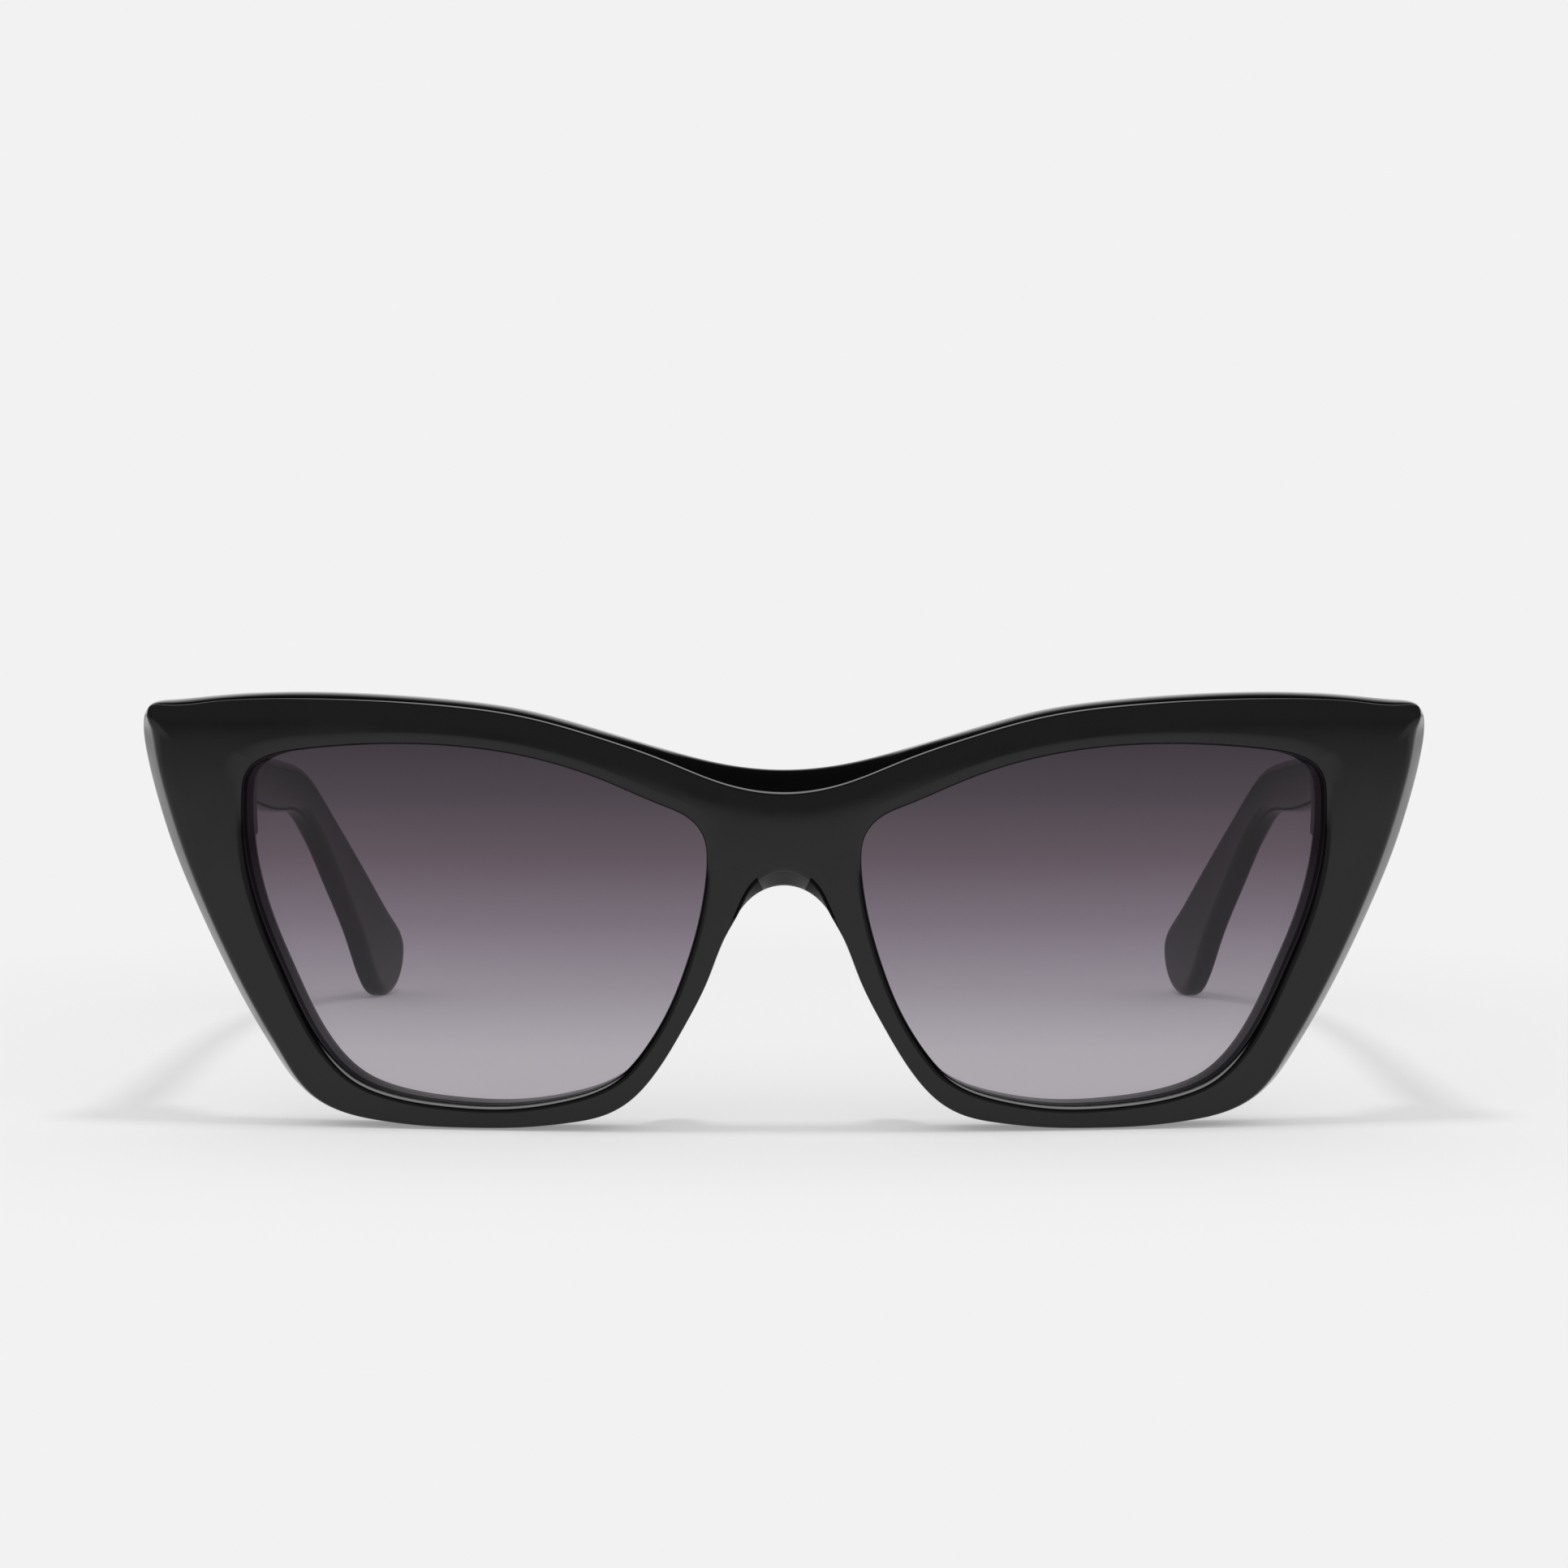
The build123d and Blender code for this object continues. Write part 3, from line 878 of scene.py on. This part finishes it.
    def behind_wing(self, face: bmesh.types.BMFace) -> bool:
        """Whether a face of the skin lies at the back, in or near the end block.

        Args:
            face: The face, in millimetres.

        Returns:
            True for the faces that the block's edges may cut.
        """
        x, y, z = face.calc_center_median()
        near = 2 * self.end_slope
        return (
            x > self.end_inner - near and z > self.end_bottom - near
            and y > self.behind(x, self.flare_depth + self.arris)
        )

    def raise_blocks(self, bm: bmesh.types.BMesh) -> None:
        """Thicken the wing behind the temple's joint, down to the flat joint face.

        Args:
            bm: The half skin.
        """
        cuts = [
            ((0, 0, self.end_bottom - self.end_draft), (0, 0, 1)),
            ((0, 0, self.end_bottom), (0, 0, 1)),
            ((0, 0, self.end_bottom + self.end_chamfer), (0, 0, 1)),
            ((self.end_inner - self.end_slope, 0, 0), (1, 0, 0)),
            ((self.end_inner, 0, 0), (1, 0, 0)),
        ]
        for place, normal in cuts:
            faces = [face for face in bm.faces if self.behind_wing(face)]
            edges = {edge for face in faces for edge in face.edges}
            verts = {vert for face in faces for vert in face.verts}
            bmesh.ops.bisect_plane(
                bm, geom=list(verts) + list(edges) + faces, plane_co=place, plane_no=normal,
                dist=2 * ON_PLANE,
            )
        # the back and its rounded outer edge move, each point with its own lag
        for vert in bm.verts:
            if vert.co.x > self.end_inner - self.end_slope - self.slack:
                lag = vert.co.y - self.behind(vert.co.x, self.thickness)
                if lag > -self.back_round - self.slack:
                    vert.co.y = max(vert.co.y, self.block_y(vert.co.x, vert.co.z) + lag)

    def build(self, acetate_looks: Sequence[bpy.types.Material]) -> bpy.types.Object:
        """Make the front.

        Args:
            acetate_looks: Its material for each look of the acetate, in their order: the polished
                one, then the two dimmer ones that paint shade.

        Returns:
            The front as one closed piece that stands for the solid.
        """
        bm = self.half_skin()
        self.roll_brow(bm)
        self.raise_blocks(bm)
        bmesh.ops.mirror(
            bm, geom=bm.verts[:] + bm.edges[:] + bm.faces[:], axis="X",
            merge_dist=2 * self.weld, matrix=Matrix.Identity(4),
        )
        bmesh.ops.scale(bm, vec=(MM, MM, MM), verts=bm.verts)
        front = finished(
            "polished_front", bm, acetate_looks[0], "front", ["front_frame"], sharp=25.0
        )
        for finish in acetate_looks[1:]:
            front.data.materials.append(finish)
        return front


# ---------------------------------------------------------------- temples
@dataclass
class PolishedTemple:
    """One acetate temple: a bowed tapering bar that hooks down behind the ear.

    Sizes are in millimetres. The side stations are (distance behind the joint, height) on
    the shaft, and count from the middle of the tip's round end on the hook.
    """

    start_y: float                  # the joint
    inner_x: float                  # inner face beside the hinge
    reach: float = 126.9            # from the joint to the tip
    thickness: float = 4.2
    tip_thickness: float = 2.9
    rounding: float = 1.4           # long edges, tumbled round
    rounding_steps: int = 6
    tip_radius: float = 6.2
    clear: float = 0.03             # tip off the floor
    slice_mm: float = 2.5           # spacing of the cuts that let the bar bend
    steps: int = 8                  # points between two stations
    bow_points: int = 200           # points along the bow
    seat: float = 0.04              # the hinge leaf stands proud of the inner face by this
    slack: float = 0.01             # edges this near to the joint face stay crisp
    shaft_top: tuple[Pair, ...] = ((0.0, 46.4), (26.0, 42.4), (62.0, 38.2), (79.0, 36.5))
    hook_top: tuple[Pair, ...] = (
        (-32.6, 34.8), (-22.8, 30.1), (-12.6, 23.2), (-4.1, 16.4), (1.9, 11.6),
    )
    end_turns: tuple[float, ...] = (100.0, 60.0, 20.0, -20.0)   # degrees round the tip
    hook_bottom: tuple[Pair, ...] = (
        (-4.5, 2.2), (-9.2, 8.6), (-17.0, 17.2), (-25.8, 24.9), (-34.3, 29.0),
    )
    shaft_bottom: tuple[Pair, ...] = ((75.0, 30.1), (52.0, 32.2), (26.0, 34.1), (0.0, 34.2))
    # seen from above: (distance behind the joint, how far the bar stands out there)
    bow: tuple[Pair, ...] = (
        (-14.0, 0.8), (14.0, 0.0), (42.0, 0.8), (72.0, 0.7), (90.0, -0.7), (105.0, -3.5),
        (120.75, -8.0), (127.5, -9.95),
    )

    def side_outline(self) -> np.ndarray:
        """Draw the bar's outline from the side, from the joint's top to its bottom.

        Returns:
            One (y, height) row for each point.
        """
        end_y = self.start_y + self.reach - self.tip_radius
        end = [
            (end_y + self.tip_radius * sin(radians(turn)),
             self.clear + self.tip_radius * (1 - cos(radians(turn))))
            for turn in self.end_turns
        ]
        stations = (
            [(self.start_y + s, z) for s, z in self.shaft_top]
            + [(end_y + s, z) for s, z in self.hook_top] + end
            + [(end_y + s, z) for s, z in self.hook_bottom]
            + [(self.start_y + s, z) for s, z in self.shaft_bottom]
        )
        last = len(stations) - 1
        return SmoothCurve(stations, closed=False).at(np.linspace(0, last, last * self.steps + 1))

    def bend(self, bm: bmesh.types.BMesh) -> None:
        """Bow the straight bar and taper it towards the tip.

        Args:
            bm: The bar, in millimetres.
        """
        line = SmoothCurve(self.bow, closed=False)
        fine = line.at(np.linspace(1, len(self.bow) - 1, self.bow_points))
        for vert in bm.verts:
            behind = vert.co.y - self.start_y
            out = float(np.interp(behind, fine[:, 0], fine[:, 1]))
            taper = 1 + (self.tip_thickness / self.thickness - 1) * behind / self.reach
            vert.co.x = self.inner_x + self.seat + out + vert.co.x * taper

    def build(self, side: Side, material: bpy.types.Material) -> bpy.types.Object:
        """Make one temple.

        Args:
            side: Whose side of the wearer it is on.
            material: Its finish.

        Returns:
            The temple, which stands for the solid.
        """
        bm = bmesh.new()
        outline = self.side_outline()
        verts = bmesh.ops.create_circle(
            bm, cap_ends=True, segments=len(outline), radius=1.0
        )["verts"]
        for vert, (y, z) in zip(verts, outline):
            vert.co = (0.0, y, z)
        made = bmesh.ops.extrude_face_region(bm, geom=bm.faces[:])["geom"]
        moved = [item for item in made if isinstance(item, bmesh.types.BMVert)]
        bmesh.ops.translate(bm, verts=moved, vec=(self.thickness - self.seat, 0, 0))
        bmesh.ops.recalc_face_normals(bm, faces=bm.faces)
        flat = [face for face in bm.faces if len(face.verts) > 4]
        long_edges = [
            edge for edge in {edge for face in flat for edge in face.edges}
            if max(vert.co.y for vert in edge.verts) > self.start_y + self.slack
        ]
        bmesh.ops.bevel(
            bm, geom=long_edges, offset=self.rounding, segments=self.rounding_steps,
            profile=0.5, affect="EDGES", material=-1,
        )
        for cut in np.arange(self.slice_mm, self.reach, self.slice_mm):
            bmesh.ops.bisect_plane(
                bm, geom=bm.verts[:] + bm.edges[:] + bm.faces[:], dist=ON_PLANE,
                plane_co=(0, self.start_y + cut, 0), plane_no=(0, 1, 0),
            )
        self.bend(bm)
        bmesh.ops.scale(bm, vec=(side.sign * MM, MM, MM), verts=bm.verts)
        return finished(
            f"polished_{side.of('temple')}", bm, material, side.of("temple"),
            [side.of("temple")],
        )


def finished(
    name: str,
    bm: bmesh.types.BMesh,
    material: bpy.types.Material,
    body: str,
    stands_for: Sequence[str] = (),
    sharp: float = 35.0,
) -> bpy.types.Object:
    """Turn a bmesh into a piece of the object.

    Args:
        name: The piece's name.
        bm: Its shape, in metres. It is freed.
        material: Its finish.
        body: The body that it rides on.
        stands_for: The solids that it hides.
        sharp: Edges that bend more than this many degrees stay crisp.

    Returns:
        The new object.
    """
    bmesh.ops.recalc_face_normals(bm, faces=bm.faces)
    for face in bm.faces:
        face.smooth = True
    for edge in bm.edges:
        edge.smooth = edge.calc_face_angle(0.0) < radians(sharp)
    mesh = bpy.data.meshes.new(name)
    bm.to_mesh(mesh)
    bm.free()
    mesh.materials.append(material)
    piece = bpy.data.objects.new(name, mesh)
    bpy.context.scene.collection.objects.link(piece)
    even = piece.modifiers.new("even_shading", "WEIGHTED_NORMAL")
    even.keep_sharp = True
    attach(piece, body)
    if stands_for:
        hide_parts(*stands_for)
    LOG.info("%s: %d faces, %s", name, len(mesh.polygons), material.name)
    return piece


# ---------------------------------------------------------------- lenses, pads and fittings
@dataclass
class Lenses:
    """The two gradient lenses, whose solids have the true curve and sit in the grooves."""

    part: str = "lens"

    def dress(self, frame: dict) -> None:
        """Tint both lenses from the same heights.

        Args:
            frame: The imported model.
        """
        low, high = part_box(Side.LEFT.of(self.part))
        tint = GradientLens(low.z, high.z).material()
        dress(frame, [side.of(self.part) for side in Side], tint)


@dataclass
class NosePads:
    """The two pads, fins of the front's own acetate on the back of the nasal rims.

    Sizes are in millimetres. The fin's line is (height, x) up the middle of the rim.
    """

    front_y: float
    back: float = 10.5              # how far behind the foremost point the fin ends
    root: float = 4.0               # and where it starts, inside the rim
    width: float = 2.3
    low: float = 6.2                # height of its lower end
    high: float = 22.0              # and of its upper end
    splay: float = 0.5              # how far it leans out towards the wearer
    segments: int = 40
    rings: int = 28
    blend: float = 0.5              # how far one pass evens out its skin
    line: tuple[Pair, ...] = (
        (5.0, 17.0), (8.0, 14.7), (12.5, 11.9), (16.0, 10.1), (19.0, 9.0), (23.0, 7.9),
    )

    def build(self, side: Side, material: bpy.types.Material) -> bpy.types.Object:
        """Make one pad.

        Args:
            side: Its side.
            material: The front's acetate.

        Returns:
            The pad, which stands for the solid.
        """
        bm = bmesh.new()
        bmesh.ops.create_uvsphere(
            bm, u_segments=self.segments, v_segments=self.rings, radius=1.0
        )
        bmesh.ops.bisect_plane(
            bm, geom=bm.verts[:] + bm.edges[:] + bm.faces[:], dist=ON_PLANE,
            plane_co=(0, 0, 0), plane_no=(0, -1, 0), clear_outer=True,
        )
        bmesh.ops.contextual_create(bm, geom=[edge for edge in bm.edges if edge.is_boundary])
        heights, across = zip(*self.line)
        for vert in bm.verts:
            x, y, z = vert.co
            height = (self.low + self.high) / 2 + z * (self.high - self.low) / 2
            middle = float(np.interp(height, heights, across)) + self.splay * y
            vert.co = (
                middle + x * self.width / 2,
                self.front_y + self.root + y * (self.back - self.root), height,
            )
        bmesh.ops.smooth_vert(bm, verts=bm.verts, factor=self.blend, use_axis_x=True)
        bmesh.ops.scale(bm, vec=(side.sign * MM, MM, MM), verts=bm.verts)
        return finished(
            f"fin_{side.of('nose_pad')}", bm, material, "front",
            [side.of("nose_pad")],
        )


@dataclass
class Hinges:
    """The two barrel hinges with their leaves and screws. Sizes are in millimetres."""

    leaf_thickness: float = 1.0
    arris: float = 0.1              # stamped edges, broken in the tumbler
    screw_arris: float = 0.06
    smooth_below: float = 30.0      # edges that bend less than this, in degrees, stay as they are
    flat_below: float = 1.0         # and at edges that bend less than this, facets are joined
    weld: float = 0.001             # corners nearer than this are one

    def softened(
        self, frame: dict, part: str, side: Side, body: str, arris: float,
        slot: str, material: bpy.types.Material,
    ) -> bpy.types.Object:
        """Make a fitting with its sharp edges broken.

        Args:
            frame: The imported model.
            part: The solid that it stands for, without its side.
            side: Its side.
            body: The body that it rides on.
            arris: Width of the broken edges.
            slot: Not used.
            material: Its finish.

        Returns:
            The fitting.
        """
        node = side.of(part)
        bm = bmesh.new()
        bm.from_mesh(frame["nodes"][node].data)
        bmesh.ops.remove_doubles(bm, verts=bm.verts, dist=self.weld * MM)
        bmesh.ops.dissolve_limit(
            bm, angle_limit=radians(self.flat_below), verts=bm.verts, edges=bm.edges,
            use_dissolve_boundaries=False,
        )
        crisp = [
            edge for edge in bm.edges
            if edge.calc_face_angle(0.0) > radians(self.smooth_below)
        ]
        bmesh.ops.bevel(
            bm, geom=crisp, offset=arris * MM, segments=2, profile=0.5,
            affect="EDGES", material=-1,
        )
        return finished(f"tumbled_{node}", bm, material, body, [node])

    def build(self, frame: dict) -> None:
        """Make both hinges.

        Args:
            frame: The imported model.
        """
        silver = TumbledMetal(Metal.NICKEL_SILVER).material()
        steel = TumbledMetal(Metal.STAINLESS_STEEL).material()
        for side in Side:
            self.softened(
                frame, "front_hinge", side, "front", self.arris, "hinge_metal", silver
            )
            self.softened(
                frame, "temple_hinge", side, side.of("temple"), self.arris,
                "hinge_metal", silver,
            )
            self.softened(
                frame, "hinge_screw", side, "front", self.screw_arris, "screw_steel", steel
            )


@dataclass
class CoreWires:
    """The flat wires inside the temples, out of sight in black acetate."""

    part: str = "core_wire"

    def dress(self, frame: dict) -> None:
        """Finish both wires.

        Args:
            frame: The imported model.
        """
        rolled = TumbledMetal(Metal.ROLLED_NICKEL_SILVER).material()
        dress(frame, [side.of(self.part) for side in Side], rolled)


# ---------------------------------------------------------------- studio
@dataclass
class Studio:
    """Pale floor, pale surroundings, a soft light overhead and the camera.

    Sizes are in metres. Gloss mirrors a room that is dimmer than what the eye sees, so each
    fade of the floor and the walls says how light they are in the gloss.
    """

    background: str = "#f2f2f2"
    floor_half: float = 3.0
    lamp_height: float = 0.38
    lamp_size: float = 0.06
    lamp_power: float = 0.35
    world_light: float = 0.80       # what lights matt surfaces
    # share of the floor's paleness that no shadow reaches, by distance from the object
    unshadowed: Fade = Fade(0.08, 0.20, 0.3, 1.0)
    # how light gloss mirrors the floor: in front, by Y
    floor_front: Fade = Fade(-1.3, -0.45, 0.38, 1.0)
    # to the sides, by how far aside a place is plus this slope times its Y
    side_slope: float = -0.6
    floor_sides: Fade = Fade(0.6, 1.4, 1.0, 0.75)
    # and what it loses far behind, by distance and by Y, one times the other
    floor_beyond: Fade = Fade(0.3, 1.1)
    floor_behind: Fade = Fade(-0.4, 0.0, 0.0, -0.5)
    # how light gloss mirrors the walls, by the direction they lie in: Y, Y and Z
    wall_back: Fade = Fade(0.0, 0.75, 0.08, 0.78)
    wall_front: Fade = Fade(-0.8, -0.3, 0.26, 0.0)
    wall_up: Fade = Fade(0.08, 0.5, 1.0, 0.01)
    # a wide soft box overhead, from its back edge forwards, and from this high up
    box_back: Fade = Fade(0.12, 0.05, 0.0, 6.0)
    box_low: Fade = Fade(0.62, 0.78)
    lens_mm: float = 85.0
    sensor_mm: float = 36.0
    nearest: float = 0.01           # the camera sees nothing closer
    away: float = 0.408985          # camera before the object's foremost point
    height: float = 0.061737        # and above the floor
    pitch: float = 3.199            # degrees that it looks down

    def build(self, bounds: tuple[Vector, Vector]) -> None:
        """Set up floor, world, lamp and camera.

        Args:
            bounds: Lowest and highest corner of the object.
        """
        self.floor()
        self.world()
        self.lamp(bounds[0].y)
        self.camera(bounds[0].y)

    def floor(self) -> bpy.types.Object:
        """Lay the floor.

        Returns:
            A large sheet that keeps the object's shadow near it, and beyond is as pale
            as the surroundings.
        """
        mesh = bpy.data.meshes.new("floor")
        sheet = bmesh.new()
        bmesh.ops.create_grid(sheet, x_segments=1, y_segments=1, size=self.floor_half)
        sheet.to_mesh(mesh)
        sheet.free()
        floor = bpy.data.objects.new("floor", mesh)
        bpy.context.scene.collection.objects.link(floor)

        made = new_material("pale studio floor")
        tree = made.node_tree
        place = add_node(tree, "TexCoord").outputs["Object"]
        away = add_node(tree, "VectorMath", {0: place}, operation="LENGTH").outputs["Value"]
        far = add_node(
            tree, "MapRange", self.unshadowed.over(away), interpolation_type="SMOOTHERSTEP"
        )
        rays = add_node(tree, "LightPath").outputs
        seen = add_node(tree, "Math", {
            0: rays["Is Camera Ray"], 1: rays["Is Glossy Ray"],
        }, operation="ADD")
        seen = add_node(tree, "Math", {
            0: seen.outputs[0], 1: rays["Is Transmission Ray"],
        }, operation="ADD", use_clamp=True)
        share = add_node(tree, "Math", {
            0: far.outputs["Result"], 1: seen.outputs[0],
        }, operation="MULTIPLY")
        # away from the object the floor runs into the dim of the room, as mirrored in gloss
        axes = add_node(tree, "SeparateXYZ", {"Vector": place}).outputs
        aside = add_node(tree, "Math", {0: axes["X"]}, operation="ABSOLUTE")
        widening = add_node(tree, "Math", {
            0: axes["Y"], 1: self.side_slope, 2: aside.outputs[0],
        }, operation="MULTIPLY_ADD")
        front, sides, beyond, behind = (
            add_node(
                tree, "MapRange", fade.over(measure), interpolation_type="SMOOTHSTEP"
            ).outputs["Result"]
            for fade, measure in (
                (self.floor_front, axes["Y"]), (self.floor_sides, widening.outputs[0]),
                (self.floor_beyond, away), (self.floor_behind, axes["Y"]),
            )
        )
        rear = add_node(tree, "Math", {0: beyond, 1: behind, 2: 1.0}, operation="MULTIPLY_ADD")
        ahead = add_node(tree, "Math", {0: front, 1: sides}, operation="MULTIPLY")
        room = add_node(tree, "Math", {
            0: ahead.outputs[0], 1: rear.outputs[0],
        }, operation="MULTIPLY")
        plain = add_node(tree, "Math", {
            0: room.outputs[0], 1: rays["Is Camera Ray"],
        }, operation="MAXIMUM")
        matt = add_node(tree, "BsdfDiffuse", {"Color": srgb(self.background)})
        pale = add_node(tree, "Emission", {
            "Color": srgb(self.background), "Strength": plain.outputs[0],
        })
        both = add_node(tree, "MixShader", {
            0: share.outputs[0], 1: matt.outputs["BSDF"], 2: pale.outputs["Emission"],
        })
        finish_with(made, both.outputs["Shader"])
        mesh.materials.append(made)
        floor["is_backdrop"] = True
        return floor

    def world(self) -> None:
        """Surround the object with pale light that darkens overhead."""
        world = bpy.data.worlds.new("studio")
        bpy.context.scene.world = world
        world.use_nodes = True
        tree = world.node_tree
        tree.nodes.clear()
        direction = add_node(tree, "TexCoord").outputs["Generated"]
        axes = add_node(tree, "SeparateXYZ", {"Vector": direction}).outputs
        back, ahead, low, edge, over = (
            add_node(
                tree, "MapRange", fade.over(axes[axis]), interpolation_type="SMOOTHSTEP"
            ).outputs["Result"]
            for fade, axis in (
                (self.wall_back, "Y"), (self.wall_front, "Y"), (self.wall_up, "Z"),
                (self.box_back, "Y"), (self.box_low, "Z"),
            )
        )
        round_about = add_node(tree, "Math", {0: back, 1: ahead}, operation="ADD")
        wall = add_node(tree, "Math", {0: round_about.outputs[0], 1: low}, operation="MULTIPLY")
        dim = add_node(tree, "Math", {
            0: edge, 1: over, 2: wall.outputs[0],
        }, operation="MULTIPLY_ADD")
        rays = add_node(tree, "LightPath").outputs
        soft = add_node(tree, "Background", {
            "Color": srgb("#ffffff"), "Strength": self.world_light,
        })
        mirrored = add_node(tree, "Background", {
            "Color": srgb("#ffffff"), "Strength": dim.outputs[0],
        })
        pale = add_node(tree, "Background", {"Color": srgb(self.background)})
        lit = add_node(tree, "MixShader", {
            0: rays["Is Glossy Ray"], 1: soft.outputs[0], 2: mirrored.outputs[0],
        })
        seen = add_node(tree, "MixShader", {
            0: rays["Is Camera Ray"], 1: lit.outputs[0], 2: pale.outputs[0],
        })
        add_node(tree, "OutputWorld", {"Surface": seen.outputs[0]})

    def lamp(self, front: float) -> bpy.types.Object:
        """Hang the soft light over the object's brow.

        Args:
            front: Y of the object's foremost point.

        Returns:
            The lamp.
        """
        data = bpy.data.lights.new("overhead", "AREA")
        data.shape = "DISK"
        data.size = self.lamp_size
        data.energy = self.lamp_power
        lamp = bpy.data.objects.new("overhead", data)
        lamp.location = (0, front, self.lamp_height)
        lamp.visible_glossy = False
        bpy.context.scene.collection.objects.link(lamp)
        return lamp

    def camera(self, front: float) -> bpy.types.Object:
        """Place the camera.

        Args:
            front: Y of the object's foremost point.

        Returns:
            The camera, a little above the brow and looking slightly down.
        """
        data = bpy.data.cameras.new("camera")
        data.lens = self.lens_mm
        data.sensor_width = self.sensor_mm
        data.clip_start = self.nearest
        camera = bpy.data.objects.new("camera", data)
        camera.location = (0, front - self.away, self.height)
        camera.rotation_euler = (radians(90 - self.pitch), 0, 0)
        bpy.context.scene.collection.objects.link(camera)
        bpy.context.scene.camera = camera
        return camera


def main() -> None:
    """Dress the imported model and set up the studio."""
    logging.basicConfig(level=logging.INFO, format="%(name)s: %(message)s")
    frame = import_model()
    solids_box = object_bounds()

    bpy.context.scene.view_settings.view_transform = "Standard"
    # the polished acetate first, then the two dimmer looks that paint shade on the eye walls and
    # the arch
    acetate_looks = [BlackAcetate(buffing).material() for buffing in AcetateLook]
    acetate = acetate_looks[AcetateLook.POLISHED.place]
    hinges = Hinges()
    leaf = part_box(Side.LEFT.of("temple_hinge"))
    PolishedFront(front_y=solids_box[0].y / MM).build(acetate_looks)
    temple = PolishedTemple(
        start_y=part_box(Side.LEFT.of("temple"))[0].y / MM,
        inner_x=leaf[1].x / MM - hinges.leaf_thickness,
    )
    pads = NosePads(front_y=solids_box[0].y / MM)
    for side in Side:
        temple.build(side, acetate)
        pads.build(side, acetate)
    Lenses().dress(frame)
    hinges.build(frame)
    CoreWires().dress(frame)
    Studio().build(solids_box)


if __name__ == "__main__":
    main()
